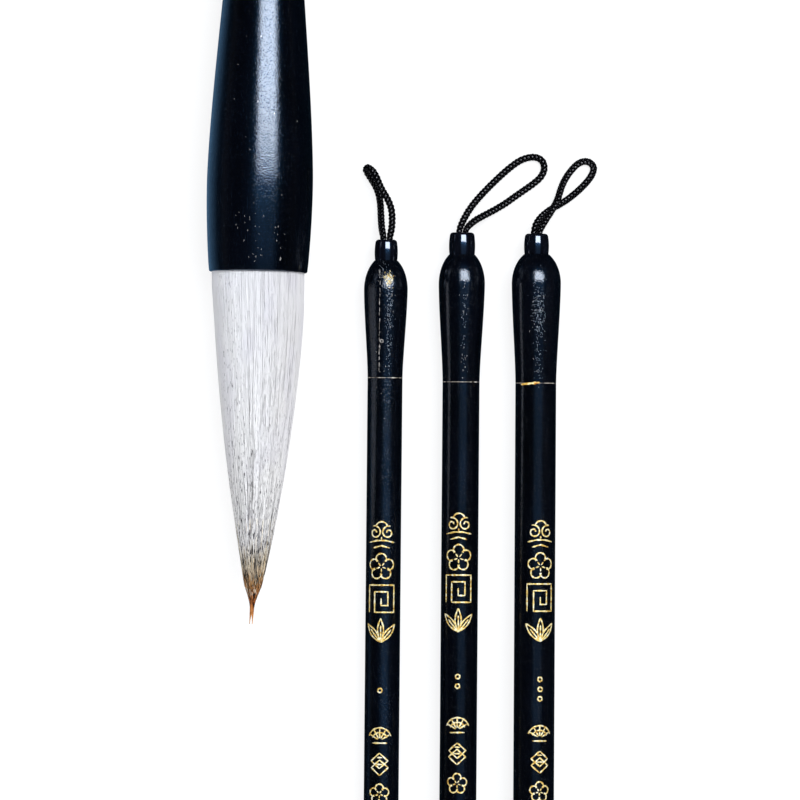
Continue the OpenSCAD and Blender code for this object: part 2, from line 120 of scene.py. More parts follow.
class BrushName(Enum):
    """The brushes of the set, by the names that their nodes start with."""

    SMALL = "small"
    MEDIUM = "medium"
    LARGE = "large"
    GIANT = "giant"


class Gloss(Enum):
    """How the lacquer of a brush shines."""

    HANDLE = "handle"
    RUBBED = "rubbed"
    FERRULE = "ferrule"


class Motif(Enum):
    """Traditional ornaments that are cut into a handle and gilded."""

    CLOUD = "cloud"
    FRET = "fret"
    BLOSSOM = "blossom"
    TWIN_LOZENGE = "twin lozenge"
    LEAVES = "leaves"
    SHELL = "shell"
    DOT = "dot"


# An ornament: its place from the mouth, its motif and its size.
Mark = tuple[float, Motif, float]


# Colours, nodes and formulas


def linear(code: str) -> tuple[float, float, float, float]:
    """Turns a colour as it is seen into the renderer's own numbers.

    Args:
        code: An sRGB colour as six hex digits.

    Returns:
        Linear red, green and blue, and an alpha of 1.
    """
    parts = [int(code[i : i + 2], 16) / 255 for i in (0, 2, 4)]
    bent = [c / 12.92 if c <= 0.04045 else ((c + 0.055) / 1.055) ** 2.4 for c in parts]
    return (bent[0], bent[1], bent[2], 1.0)


def add_node(tree: Tree, kind: str, inputs: Inputs | None = None, **settings: Any) -> Node:
    """Adds a node with its settings, and links or sets its inputs.

    Args:
        tree: The shader or geometry tree that gets the node.
        kind: The name of the node's type.
        inputs: Input name or index, with a socket to link from, a formula or a plain value.
        settings: Values of the node's own properties. Here stops is a colour ramp's positions and
            hex colours.

    Returns:
        The new node.
    """
    made = tree.nodes.new(kind)
    stops = settings.pop("stops", None)
    for name, value in settings.items():
        setattr(made, name, value)
    if stops:
        elements = made.color_ramp.elements
        elements[0].position, elements[0].color = stops[0][0], linear(stops[0][1])
        elements[1].position, elements[1].color = stops[-1][0], linear(stops[-1][1])
        for position, code in stops[1:-1]:
            elements.new(position).color = linear(code)
    for key, value in (inputs or {}).items():
        source = value.socket if isinstance(value, Formula) else value
        if isinstance(source, Socket):
            tree.links.new(source, made.inputs[key])
        else:
            made.inputs[key].default_value = source
    return made


@dataclass(frozen=True)
class Formula:
    """A number in a node tree, so that a formula reads as it is written."""

    tree: Tree
    socket: Socket

    def op(self, operation: str, *others: Formula | float) -> Formula:
        """Returns the result of a maths operation on this number and others."""
        made = add_node(self.tree, "ShaderNodeMath", dict(enumerate((self, *others))), operation=operation)
        return Formula(self.tree, made.outputs[0])

    def __add__(self, other: Formula | float) -> Formula:
        """Returns the sum."""
        return self.op("ADD", other)

    def __sub__(self, other: Formula | float) -> Formula:
        """Returns the difference."""
        return self.op("SUBTRACT", other)

    def __mul__(self, other: Formula | float) -> Formula:
        """Returns the product."""
        return self.op("MULTIPLY", other)

    def __truediv__(self, other: Formula | float) -> Formula:
        """Returns the quotient."""
        return self.op("DIVIDE", other)

    def __pow__(self, other: Formula | float) -> Formula:
        """Returns the power."""
        return self.op("POWER", other)

    def between(self, low: float, high: float, start: float = 0.0, end: float = 1.0) -> Formula:
        """Maps a stretch of this number onto another stretch, clamped and smooth.

        Args:
            low: The number that becomes start.
            high: The number that becomes end.
            start: One end of the new stretch.
            end: Its other end.

        Returns:
            The mapped number.
        """
        made = add_node(
            self.tree,
            "ShaderNodeMapRange",
            {"Value": self, "From Min": low, "From Max": high, "To Min": start, "To Max": end},
            interpolation_type="SMOOTHSTEP",
        )
        return Formula(self.tree, made.outputs[0])


# Finishes


@dataclass(frozen=True)
class Finish:
    """A material made of nodes, with what every finish here shares."""

    name: str
    roughness: float
    ior: float = 1.5

    def material(self) -> Material:
        """Makes the material, and lets the finish dress its shader.

        Returns:
            The material.
        """
        made = bpy.data.materials.new(self.name)
        made.use_nodes = True
        tree = made.node_tree
        tree.nodes.clear()
        shader = add_node(tree, "ShaderNodeBsdfPrincipled", {"Roughness": self.roughness, "IOR": self.ior})
        add_node(tree, "ShaderNodeOutputMaterial", {"Surface": shader.outputs[0]})
        self.dress(tree, shader)
        return made

    def dress(self, tree: Tree, shader: Node) -> None:
        """Adds the finish's own patterns. Each finish has its own."""

    @staticmethod
    def grain(tree: Tree, size_mm: float, stretch: float = 1.0, detail: float = 2.0) -> Formula:
        """Adds noise of a real size, drawn out along the handles.

        Args:
            tree: The shader tree.
            size_mm: The width of one grain.
            stretch: How many times longer a grain is along the handle than across it.
            detail: The noise's detail.

        Returns:
            The noise's value, from 0 to 1.
        """
        across = 1 / (size_mm * MM)
        where = add_node(tree, "ShaderNodeTexCoord").outputs["Object"]
        scale = (across, across / stretch, across)
        mapped = add_node(tree, "ShaderNodeMapping", {"Vector": where, "Scale": scale})
        inputs: Inputs = {"Vector": mapped.outputs[0], "Scale": 1.0, "Detail": detail}
        made = add_node(tree, "ShaderNodeTexNoise", inputs)
        return Formula(tree, made.outputs[0])

    @staticmethod
    def carried(tree: Tree, name: str) -> Formula:
        """Returns a number that the mesh carries at each of its points."""
        return Formula(tree, add_node(tree, "ShaderNodeAttribute", attribute_name=name).outputs["Fac"])

    @staticmethod
    def blend(
        tree: Tree, share: Formula | float, one: Socket | str, other: Socket | str, way: str = "MIX"
    ) -> Socket:
        """Adds a mix of two colours.

        Args:
            tree: The shader tree.
            share: How much of the other colour there is.
            one: The first colour, as a socket or six hex digits.
            other: The other colour.
            way: The name of the way that they mix.

        Returns:
            The mixed colour.
        """
        colours = [linear(c) if isinstance(c, str) else c for c in (one, other)]
        inputs: Inputs = {0: share, 6: colours[0], 7: colours[1]}
        return add_node(tree, "ShaderNodeMix", inputs, data_type="RGBA", blend_type=way).outputs[2]

    @staticmethod
    def coat(shader: Node, haze: float, ior: float) -> None:
        """Lays a clear coat over the finish, with a blue shine under it.

        Args:
            shader: The finish's shader.
            haze: The coat's roughness.
            ior: The coat's IOR.
        """
        shader.inputs["Coat Weight"].default_value = 1.0
        shader.inputs["Coat Roughness"].default_value = haze
        shader.inputs["Coat IOR"].default_value = ior
        shader.inputs["Specular Tint"].default_value = linear(BLUE_SHINE)

    @staticmethod
    def relief(tree: Tree, shader: Node, layers: Sequence[tuple[Formula, float]]) -> None:
        """Adds bumps over each other, and gives them to the shader.

        Args:
            tree: The shader tree.
            shader: The shader that they shape.
            layers: Each layer's height from 0 to 1, with its depth in millimetres.
        """
        under: Socket | None = None
        for height, depth in layers:
            inputs: Inputs = {"Height": height, "Distance": depth * MM, "Strength": 1.0}
            if under is not None:
                inputs["Normal"] = under
            under = add_node(tree, "ShaderNodeBump", inputs).outputs[0]
        tree.links.new(under, shader.inputs["Normal"])
        # A coat has a normal of its own.
        if shader.inputs["Coat Weight"].default_value > 0:
            tree.links.new(under, shader.inputs["Coat Normal"])


@dataclass(frozen=True)
class Lacquer(Finish):
    """Black lacquer over turned hardwood, rubbed down and polished.

    The eye sees a deep black with a faint blue cast. Its gloss breaks into sparks over the fine swell of
    the brushed coat, over pinhead specks that settled in it and over hair scratches along the handle. They
    are drawn coarser and deeper than real ones, so that they show.
    """

    # Each pattern's grain and depth. The coat is pitted, and specks stand in it, where a noise passes the
    # share that pits or speck_from gives.
    swell_mm: float = 0.27
    swell_depth_mm: float = 0.028
    speck_mm: float = 0.2
    speck_depth_mm: float = 0.09
    speck_from: float = 0.66
    under_gloss: float = 0.3
    pits: float = 0.6
    pit_mm: float = 0.21
    haze: float = 0.035
    coat_ior: float = 1.65
    cloud_mm: float = 9.0
    scratch_mm: float = 0.1
    scratch_depth_mm: float = 0.003

    def dress(self, tree: Tree, shader: Node) -> None:
        """Adds the cast, the swell, the specks, the pits and the scratches.

        Args:
            tree: The material's node tree.
            shader: The shader that it dresses.
        """
        self.coat(shader, self.haze, self.coat_ior)
        shader.inputs["Specular IOR Level"].default_value = self.under_gloss
        # A pit has hardly any coat.
        pitted = self.grain(tree, self.pit_mm, stretch=1.1, detail=1.0)
        pitted = pitted.between(self.pits, self.pits + 0.06, 1.0, 0.1)
        tree.links.new(pitted.socket, shader.inputs["Coat Weight"])
        cloud = self.grain(tree, self.cloud_mm, stretch=4.0)
        specks = self.grain(tree, self.speck_mm, stretch=1.2, detail=1.0)
        specks = specks.between(self.speck_from, self.speck_from + 0.08)
        scratches = self.grain(tree, self.scratch_mm, stretch=50.0, detail=3.0).between(0.64, 0.76)
        black = add_node(tree, "ShaderNodeValToRGB", {0: cloud}, stops=((0.3, "010204"), (0.7, "03040A")))
        colour = self.blend(tree, specks.op("MAXIMUM", scratches * 0.4), black.outputs[0], "141922")
        tree.links.new(colour, shader.inputs["Base Color"])
        rough = cloud.between(0.3, 0.75, self.roughness * 0.8, self.roughness * 1.3) + scratches * 0.15
        tree.links.new(rough.socket, shader.inputs["Roughness"])
        swell = self.grain(tree, self.swell_mm, stretch=1.5, detail=1.0)
        layers = (
            (swell, self.swell_depth_mm), (specks, self.speck_depth_mm), (scratches, self.scratch_depth_mm),
        )
        self.relief(tree, shader, layers)


@dataclass(frozen=True)
class Horn(Finish):
    """Black buffalo horn, turned and polished: near black, with grey streaks along the growth."""

    streak_mm: float = 0.5
    mark_mm: float = 0.5
    mark_depth_mm: float = 0.004

    def dress(self, tree: Tree, shader: Node) -> None:
        """Adds the streaks and a fine turning mark.

        Args:
            tree: The material's node tree.
            shader: The shader that it dresses.
        """
        self.coat(shader, haze=0.05, ior=1.8)
        streaks = self.grain(tree, self.streak_mm, stretch=9.0, detail=3.0)
        stops = ((0.35, "050508"), (0.62, "0B0C14"), (0.8, "16171F"))
        colour = add_node(tree, "ShaderNodeValToRGB", {0: streaks}, stops=stops)
        tree.links.new(colour.outputs[0], shader.inputs["Base Color"])
        marks = self.grain(tree, self.mark_mm, stretch=2.0)
        self.relief(tree, shader, ((marks, self.mark_depth_mm),))


@dataclass(frozen=True)
class Gilt(Finish):
    """Gold powder laid in cut lines: pale where it lies thick, red-brown where it has rubbed thin.

    Its grains are drawn coarser than real ones, so that they show.
    """

    metallic: float = 0.35
    worn_mm: float = 0.55
    powder_mm: float = 0.16
    powder_depth_mm: float = 0.03

    def dress(self, tree: Tree, shader: Node) -> None:
        """Adds the worn patches and the powder's grain.

        Args:
            tree: The material's node tree.
            shader: The shader that it dresses.
        """
        shader.inputs["Metallic"].default_value = self.metallic
        worn = self.grain(tree, self.worn_mm, detail=4.0)
        stops = ((0.28, "8A5A20"), (0.38, "D9A944"), (0.5, "F4DD8C"), (0.62, "FFF8DE"))
        colour = add_node(tree, "ShaderNodeValToRGB", {0: worn}, stops=stops)
        tree.links.new(colour.outputs[0], shader.inputs["Base Color"])
        self.relief(tree, shader, ((self.grain(tree, self.powder_mm), self.powder_depth_mm),))


@dataclass(frozen=True)
class Braid(Finish):
    """Fine black polyester braid: dull black, with more gloss and a painted highlight dot where a strand lies
    on top.

    The mesh carries over, which is 1 where a strand lies on top and 0 where it is under another. The
    filaments are drawn coarser than real ones, so that they show.
    """

    filament_mm: float = 0.09
    filament_depth_mm: float = 0.01

    def dress(self, tree: Tree, shader: Node) -> None:
        """Adds the filaments, and the glossy tops with their painted highlight.

        Args:
            tree: The material's node tree.
            shader: The shader that it dresses.
        """
        fibres = self.grain(tree, self.filament_mm)
        top = self.carried(tree, "over").between(0.7, 1.0) * fibres.between(0.35, 0.6, 0.5, 1.0)
        # Painted highlight: a strand's top is drawn pale grey, as a dot of light.
        tree.links.new(self.blend(tree, top, "030304", "2A292F"), shader.inputs["Base Color"])
        tree.links.new((top * 1.6).socket, shader.inputs["Specular IOR Level"])
        self.relief(tree, shader, ((fibres, self.filament_depth_mm),))


@dataclass(frozen=True)
class Hair(Finish):
    """Straight animal hair, combed wet and dried: each hair has its own tone, and dark ends show between.

    The mesh carries shade, from 0 to 1 for each hair; along, from 0 at the ferrule's mouth to 1 at the
    tuft's tip; end, from 0 at a hair's start to 1 at its own end; and side, from -1 at the tuft's left to
    1 at its right.
    """

    tones: Stops = ((0.0, "3A383E"), (0.2, "88868C"), (0.42, "CDCCCE"), (0.75, "E2E2E4"))
    run: Stops = ((0.0, "FFFFFF"), (0.77, "FFFDF8"), (0.83, "EBDFC6"), (0.89, "C79E68"), (0.94, "A0662E"))
    streaks: float = 0.9
    lilac: float = 0.15
    pale: float = 0.0
    streak_mm: float = 0.22
    clump_mm: float = 0.36
    patch_mm: float = 5.0
    lock_mm: float = 0.38

    def dress(self, tree: Tree, shader: Node) -> None:
        """Adds each hair's tone, the dark streaks, the lilac patches, the run to the tip, and painted shade
        at the tuft's left, its right and near its mouth.

        Args:
            tree: The material's node tree.
            shader: The shader that it dresses.
        """
        shader.inputs["Specular IOR Level"].default_value = 0.2
        along, side = self.carried(tree, "along"), self.carried(tree, "side")
        lower = along.between(0.64, 0.88)
        # Painted shade: more dark streaks at the tuft's left, in its upper part, as shadow lines between
        # loose hairs.
        painted_shade_left = side.between(-0.95, -0.82) * side.between(-0.5, -0.25, 1.0, 0.0)
        painted_shade_left = painted_shade_left * along.between(0.0, 0.5, 0.8, 0.4)
        streak = (self.grain(tree, self.streak_mm, stretch=9.0) + lower * 0.04).between(0.58, 0.7)
        streak = streak * (along.between(0.0, 0.85, 0.05, 1.1) + painted_shade_left + lower * 0.4)
        clumps = self.grain(tree, self.clump_mm, stretch=22.0, detail=1.0).between(0.57, 0.64)
        streak = streak.op("MAXIMUM", clumps * lower)
        end = self.carried(tree, "end").between(0.8, 1.0) * along.between(0.93, 0.96, 1.0, 0.0)
        grey = ((self.carried(tree, "shade") ** 0.35) * -1.0 + 1.0) * along.between(0.0, 0.8, 0.12, 1.0)
        tone = (grey + streak * self.streaks + end * 0.3) * -1.0 + 1.0
        own = add_node(tree, "ShaderNodeValToRGB", {0: tone}, stops=self.tones)
        run = add_node(tree, "ShaderNodeValToRGB", {0: along}, stops=self.run)
        patches = self.grain(tree, self.patch_mm, stretch=3.0, detail=1.0).between(0.45, 0.65)
        colour = self.blend(tree, 1.0, own.outputs[0], run.outputs[0], "MULTIPLY")
        colour = self.blend(tree, patches * self.lilac, colour, "E2E0F4", "MULTIPLY")
        # Painted shade: the tuft is drawn greyer at its right, where the softbox lights it most, and near the
        # mouth, except at its left.
        painted_shade_right = side.between(-0.1, 0.9) * along.between(0.35, 0.85, 1.0, 0.15)
        packed = side.between(-0.7, 0.0, 0.1, 1.0) * along.between(0.1, 0.55, 1.0, 0.0)
        colour = self.blend(tree, painted_shade_right, colour, "EFEDEB", "MULTIPLY")
        colour = self.blend(tree, packed, colour, "F1F0F0", "MULTIPLY")
        locks = self.grain(tree, self.lock_mm, stretch=12.0).between(0.54, 0.62)
        locks = locks * along.between(0.9, 0.93, 1.0, 0.0) * self.pale
        tree.links.new(self.blend(tree, locks, colour, "F6EFDA"), shader.inputs["Base Color"])


@dataclass(frozen=True)
class Crust(Finish):
    """Dried glue, dust or rosin: glossy where it is thick, pale where it is thin."""

    tones: Stops = ((0.35, "4A4038"), (0.5, "A79C8E"), (0.68, "E4DED6"))
    patch_mm: float = 0.8
    grit_mm: float = 0.2
    grit_depth_mm: float = 0.02

    def dress(self, tree: Tree, shader: Node) -> None:
        """Adds the thick and thin stretches.

        Args:
            tree: The material's node tree.
            shader: The shader that it dresses.
        """
        patches = self.grain(tree, self.patch_mm, detail=3.0)
        colour = add_node(tree, "ShaderNodeValToRGB", {0: patches}, stops=self.tones)
        tree.links.new(colour.outputs[0], shader.inputs["Base Color"])
        self.relief(tree, shader, ((self.grain(tree, self.grit_mm), self.grit_depth_mm),))


@dataclass(frozen=True)
class Thread(Finish):
    """Waxed flax thread, wound close: dull straw, with a ridge for each turn."""

    turn_mm: float = 0.4
    ridge_mm: float = 0.08
    fibre_mm: float = 0.12

    def dress(self, tree: Tree, shader: Node) -> None:
        """Adds the turns and the fibres.

        Args:
            tree: The material's node tree.
            shader: The shader that it dresses.
        """
        where = add_node(tree, "ShaderNodeTexCoord").outputs["Object"]
        # A wave texture repeats every pi / 10 of its scaled length.
        scale = math.pi / 10 / (self.turn_mm * MM)
        inputs: Inputs = {"Vector": where, "Scale": scale, "Distortion": 0.3}
        turns = add_node(tree, "ShaderNodeTexWave", inputs, bands_direction="Y")
        fibres = self.grain(tree, self.fibre_mm, stretch=0.3)
        tone = Formula(tree, turns.outputs["Fac"]) * 0.6 + fibres * 0.4
        colour = add_node(tree, "ShaderNodeValToRGB", {0: tone}, stops=((0.2, "8C7C5E"), (0.8, "CDBF9C")))
        tree.links.new(colour.outputs[0], shader.inputs["Base Color"])
        self.relief(tree, shader, ((tone, self.ridge_mm),))


class Finishes:
    """The set's materials, each made once."""

    def __init__(self) -> None:
        """Makes the materials."""
        # A handle's lacquer breaks a light into sparks, the small handle's is rubbed dull along its lit side,
        # and the giant ferrule's is smooth, with dark pinholes where a light shows in it.
        self.lacquers = {
            Gloss.HANDLE: Lacquer("black_lacquer", 0.2).material(),
            Gloss.RUBBED: Lacquer(
                "rubbed_black_lacquer", 0.24, swell_depth_mm=0.052, speck_depth_mm=0.14, under_gloss=0.4,
                pits=0.58,
            ).material(),
            Gloss.FERRULE: Lacquer(
                "smooth_black_lacquer", 0.2, swell_mm=0.25, swell_depth_mm=0.032, speck_from=0.71,
                under_gloss=0.5, pits=0.58, pit_mm=0.25, haze=0.05,
            ).material(),
        }
        self.horn = Horn("polished_black_horn", 0.2, 1.54).material()
        self.gilt = Gilt("gilded_cut_lines", 0.42).material()
        self.cord = Braid("black_polyester_braid", 0.3).material()
        self.white = Hair("white_goat_hair", 0.5, 1.55).material()
        self.brown = Hair(
            "brown_stiff_hair",
            0.42,
            1.55,
            tones=((0.0, "2E2620"), (0.3, "74665A"), (0.55, "EDE2D2"), (1.0, "FFFFFF")),
            run=(
                (0.0, "F4F2F0"), (0.76, "FBF4E2"), (0.82, "DCC69A"), (0.88, "A87845"), (0.94, "A86230"),
                (1.0, "F0AC62"),
            ),
            streaks=0.8,
            lilac=0.0,
            pale=0.5,
        ).material()
        self.glue = Crust("dried_glue", 0.35).material()
        amber = ((0.3, "B8741E"), (0.48, "F0C458"), (0.62, "FFF3C4"))
        self.amber = Crust("amber_glue", 0.25, tones=amber).material()
        self.dust = Crust("settled_dust", 0.8, tones=((0.35, "6C6660"), (0.6, "D4D0CC"))).material()
        # Painted glints: pale blue-white specks strewn down a handle's lit streak.
        self.painted_glints = Crust("painted_glint_specks", 0.5, tones=((0.35, "56647A"), (0.55, "DCE8F6"))).material()
        self.rosin = Crust("amber_rosin", 0.15, 1.54, tones=((0.3, "5A3412"), (0.7, "9C6426"))).material()
        self.thread = Thread("waxed_flax_thread", 0.75).material()

    def of_part(self, name: str) -> Material:
        """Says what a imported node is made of, by the last word of its name.

        Args:
            name: The node's name.

        Returns:
            Its material.
        """
        kinds = {"knot": self.cord, "loop": self.cord, "rosin": self.rosin, "binding": self.thread}
        kinds |= {"collar": self.horn, "root": self.white, "core": self.brown, "cover": self.white}
        return kinds.get(name.rsplit("_", 1)[-1], self.lacquers[Gloss.HANDLE])


# Places and plain meshes


@dataclass(frozen=True)
class Place:
    """Where a brush lies: its mouth's middle, and the way its handle points."""

    mouth: Vector
    along: Vector

    @property
    def matrix(self) -> Matrix:
        """Turns places in the brush's own frame, in millimetres, into the set's.

        Returns:
            The matrix that does it.
        """
        across = self.along.cross(Vector((0, 0, 1))).normalized()
        turn = Matrix((across, self.along, across.cross(self.along))).transposed().to_4x4()
        return Matrix.Translation(self.mouth) @ turn @ Matrix.Scale(MM, 4)


def plain_object(name: str, mesh: Mesh, material: Material | None = None) -> Piece:
    """Puts a mesh in the scene as an object at the origin.

    Args:
        name: The object's name.
        mesh: Its mesh.
        material: Its material, if it has just one.

    Returns:
        The object.
    """
    if material is not None:
        mesh.materials.append(material)
    made = bpy.data.objects.new(name, mesh)
    bpy.context.scene.collection.objects.link(made)
    return made


def mesh_of(
    name: str,
    points: Sequence[Sequence[float]],
    edges: Sequence[Sequence[int]] = (),
    faces: Sequence[Sequence[int]] = (),
    attributes: dict[str, Sequence[float]] | None = None,
) -> Mesh:
    """Makes a mesh with smooth faces and a number or more at each point.

    Args:
        name: The mesh's name.
        points: Its points.
        edges: Its loose edges, as pairs of points.
        faces: Its faces, as lists of points.
        attributes: Attribute names, with a number for each point.

    Returns:
        The mesh.
    """
    made = bpy.data.meshes.new(name)
    made.from_pydata([tuple(p) for p in points], list(edges), [list(f) for f in faces])
    made.update()
    if faces:
        made.shade_smooth()
    for key, values in (attributes or {}).items():
        made.attributes.new(key, "FLOAT", "POINT").data.foreach_set("value", list(values))
    return made


def tube_faces(rings: int, sides: int, closed: bool = False) -> list[list[int]]:
    """Joins rings of points into a tube.

    Args:
        rings: The number of rings.
        sides: The points of a ring, which run so that the faces point outwards.
        closed: True to join the last ring to the first. False to close each end with one face.

    Returns:
        The faces.
    """
    count = rings * sides
    faces = []
    for r in range(rings if closed else rings - 1):
        here, above = r * sides, (r + 1) * sides
        faces += [
            [here + s, here + (s + 1) % sides, (above + (s + 1) % sides) % count, above % count + s]
            for s in range(sides)
        ]
    if not closed:
        faces += [list(range(sides))[::-1], list(range(count - sides, count))]
    return faces


def smooth_line(points: Sequence[Vector], step: float) -> list[Vector]:
    """Draws one smooth curve through points.

    Args:
        points: The points.
        step: The distance between the curve's own points.

    Returns:
        The curve's points, from the first point to the last.
    """
    knots = [2 * points[0] - points[1], *points, 2 * points[-1] - points[-2]]
    line: list[Vector] = []
    for a, b, c, d in zip(knots, knots[1:], knots[2:], knots[3:]):
        count = max(1, round((c - b).length / step))
        for k in range(count):
            t = k / count
            point = 2 * b + (c - a) * t
            point += (2 * a - 5 * b + 4 * c - d) * t**2
            point += (3 * b - a - 3 * c + d) * t**3
            line.append(0.5 * point)
    line.append(knots[-2])
    return line


# Turned wood and horn


@dataclass(frozen=True)
class Turning:
    """The sizes of a brush's turned pieces in millimetres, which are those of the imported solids."""

    shaft_d: float
    shaft_len: float
    ferrule_d: float
    ferrule_len: float
    tuft_d: float
    finial_d: float
    finial_len: float
    collar_d: float
    collar_len: float
    tenon_d: float
    cup_depth: float
    bore_d: float = 3.2
    tenon_len: float = 12.0
    knot_room: float = 8.0
    glue_gap: float = 0.05
    lip_wall: float = 0.55
    lip_round: float = 0.45
    tuft_gap: float = 0.25
    spigot_wall: float = 0.4
    spigot_len: float = 3.0
    bevel: float = 0.4
    collar_round: float = 0.8
    collar_taper: float = 0.06
    collar_bulge: float = 0.14
    ledge: float = 0.1
    finial_belly: float = 7.0
    ferrule_belly_share: float = 0.22
    swell_power: float = 1.5
    edge: float = 0.08
    sides: int = 144

    @property
    def seam(self) -> float:
        """Where the finial meets the shaft."""
        return self.ferrule_len + self.shaft_len

    @property
    def top(self) -> float:
        """Where the collar sits on the finial."""
        return self.seam + self.finial_len

    @property
    def socket_r(self) -> float:
        """The radius of the sockets that hold the tenons."""
        return self.tenon_d / 2 + self.glue_gap

    def swell(self, share: float) -> float:
        """Falls from 1 at a belly to 0 at its end, slowly first and last."""
        return (1 - share**self.swell_power) ** self.swell_power

    def radius(self, y: float) -> float:
        """Returns the radius of the handle at a place along it.

        Args:
            y: The place, from the ferrule's mouth.

        Returns:
            The radius of the ferrule, the shaft or the finial there.
        """
        neck = self.shaft_d / 2
        if y < self.ferrule_len:
            belly_y, belly = self.ferrule_belly_share * self.ferrule_len, self.ferrule_d / 2
            lip = self.tuft_d / 2 + self.tuft_gap + self.lip_wall
            if y < belly_y:
                return belly - (belly - lip) * (1 - y / belly_y) ** 2
            return neck + (belly - neck) * self.swell((y - belly_y) / (self.ferrule_len - belly_y))
        if y <= self.seam:
            return neck
        belly_y, belly = self.top - self.finial_belly, self.finial_d / 2
        if y < belly_y:
            return neck + (belly - neck) * self.swell(1 - (y - self.seam) / (belly_y - self.seam))
        shoulder = 1 - ((self.collar_d / 2 + self.ledge) / belly) ** 2
        return belly * math.sqrt(1 - shoulder * min(1.0, (y - belly_y) / self.finial_belly) ** 2)

    def swept(self, start: float, end: float, steps: int) -> Outline:
        """Returns the handle's outline between two places."""
        places = [start + (end - start) * k / steps for k in range(steps + 1)]
        return [(self.radius(y), y) for y in places]

    def shaft(self) -> Outline:
        """Draws the shaft, with its tenon and its socket.

        Returns:
            Its outline.
        """
        low, high, r = self.ferrule_len, self.seam, self.shaft_d / 2
        deep = high - self.tenon_len - self.knot_room
        return [
            (0, low - self.tenon_len), (self.tenon_d / 2, low - self.tenon_len), (self.tenon_d / 2, low),
            (r - self.edge, low), (r, low + self.edge), (r, high - self.edge), (r - self.edge, high),
            (self.socket_r, high), (self.socket_r, deep), (0, deep),
        ]

    def ferrule(self) -> Outline:
        """Draws the ferrule, with its cup, its rounded lip and its socket.

        Returns:
            Its outline.
        """
        cup = self.tuft_d / 2 + self.tuft_gap
        lip = cup + self.lip_wall
        round_lip = [
            (lip - self.lip_round * (1 - math.sin(a)), self.lip_round * (1 - math.cos(a)))
            for a in (math.radians(9 * k) for k in range(10))
        ]
        end = self.ferrule_len - self.tenon_len - self.glue_gap
        side = self.swept(self.lip_round, self.ferrule_len - self.edge, 64)[1:]
        return [
            (0, self.cup_depth), (cup, self.cup_depth), (cup, 0.03), (cup + 0.03, 0), *round_lip, *side,
            (self.shaft_d / 2 - self.edge, self.ferrule_len), (self.socket_r, self.ferrule_len),
            (self.socket_r, end), (0, end),
        ]

    def finial(self) -> Outline:
        """Draws the finial, with its tenon, its cord bore and its seat for the collar.

        Returns:
            Its outline.
        """
        bore, seat = self.bore_d / 2, self.bore_d / 2 + self.spigot_wall + self.glue_gap
        belly_y, floor = self.top - self.finial_belly, self.top - self.spigot_len - self.glue_gap
        taper = self.swept(self.seam + self.edge, belly_y, 40)
        shoulder = self.swept(belly_y, self.top, 32)[1:]
        return [
            (bore, self.seam - self.tenon_len), (self.tenon_d / 2, self.seam - self.tenon_len),
            (self.tenon_d / 2, self.seam), (self.shaft_d / 2 - self.edge, self.seam), *taper, *shoulder,
            (seat, self.top), (seat, floor), (bore, floor),
        ]

    def collar(self) -> Outline:
        """Draws the collar, with its spigot, its barrel and its bevelled cord bore.

        Returns:
            Its outline.
        """
        bore, r, end = self.bore_d / 2, self.collar_d / 2, self.top + self.collar_len
        upper = r - self.collar_taper
        wall = self.collar_len - self.edge - self.collar_round
        barrel = [
            (r - self.collar_taper * t + self.collar_bulge * 4 * t * (1 - t), self.top + self.edge + wall * t)
            for t in (k / 10 for k in range(10))
        ]
        rounded = [
            (upper - self.collar_round * (1 - math.cos(a)), end - self.collar_round * (1 - math.sin(a)))
            for a in (math.radians(9 * k) for k in range(11))
        ]
        return [
            (bore, self.top - self.spigot_len), (bore + self.spigot_wall, self.top - self.spigot_len),
            (bore + self.spigot_wall, self.top), (r - self.edge, self.top), *barrel, *rounded,
            (bore + self.bevel, end), (bore, end - self.bevel),
        ]

    def turn(self, name: str, outline: Outline, material: Material) -> Piece:
        """Turns an outline into a closed piece.

        Args:
            name: The piece's name.
            outline: Its radii and places. A first and a last radius of 0 close it on its axis, and
                otherwise the last point joins the first.
            material: Its material.

        Returns:
            The piece, in the brush's own frame.
        """
        solid = outline[0][0] == 0
        rings = outline[1:-1] if solid else outline
        points = [
            (r * math.sin(TURN * s / self.sides), y, r * math.cos(TURN * s / self.sides))
            for r, y in rings
            for s in range(self.sides)
        ]
        faces = tube_faces(len(rings), self.sides, closed=not solid)
        if solid:
            # Each end is a fan, so that its light is even.
            first, last, n = len(points), (len(rings) - 1) * self.sides, self.sides
            points += [(0, outline[0][1], 0), (0, outline[-1][1], 0)]
            faces = faces[:-2] + [[first, (s + 1) % n, s] for s in range(n)]
            faces += [[first + 1, last + s, last + (s + 1) % n] for s in range(n)]
        mesh = mesh_of(name, points, (), faces)
        mesh.set_sharp_from_angle(angle=math.radians(25))
        return plain_object(name, mesh, material)


# Geometry rules


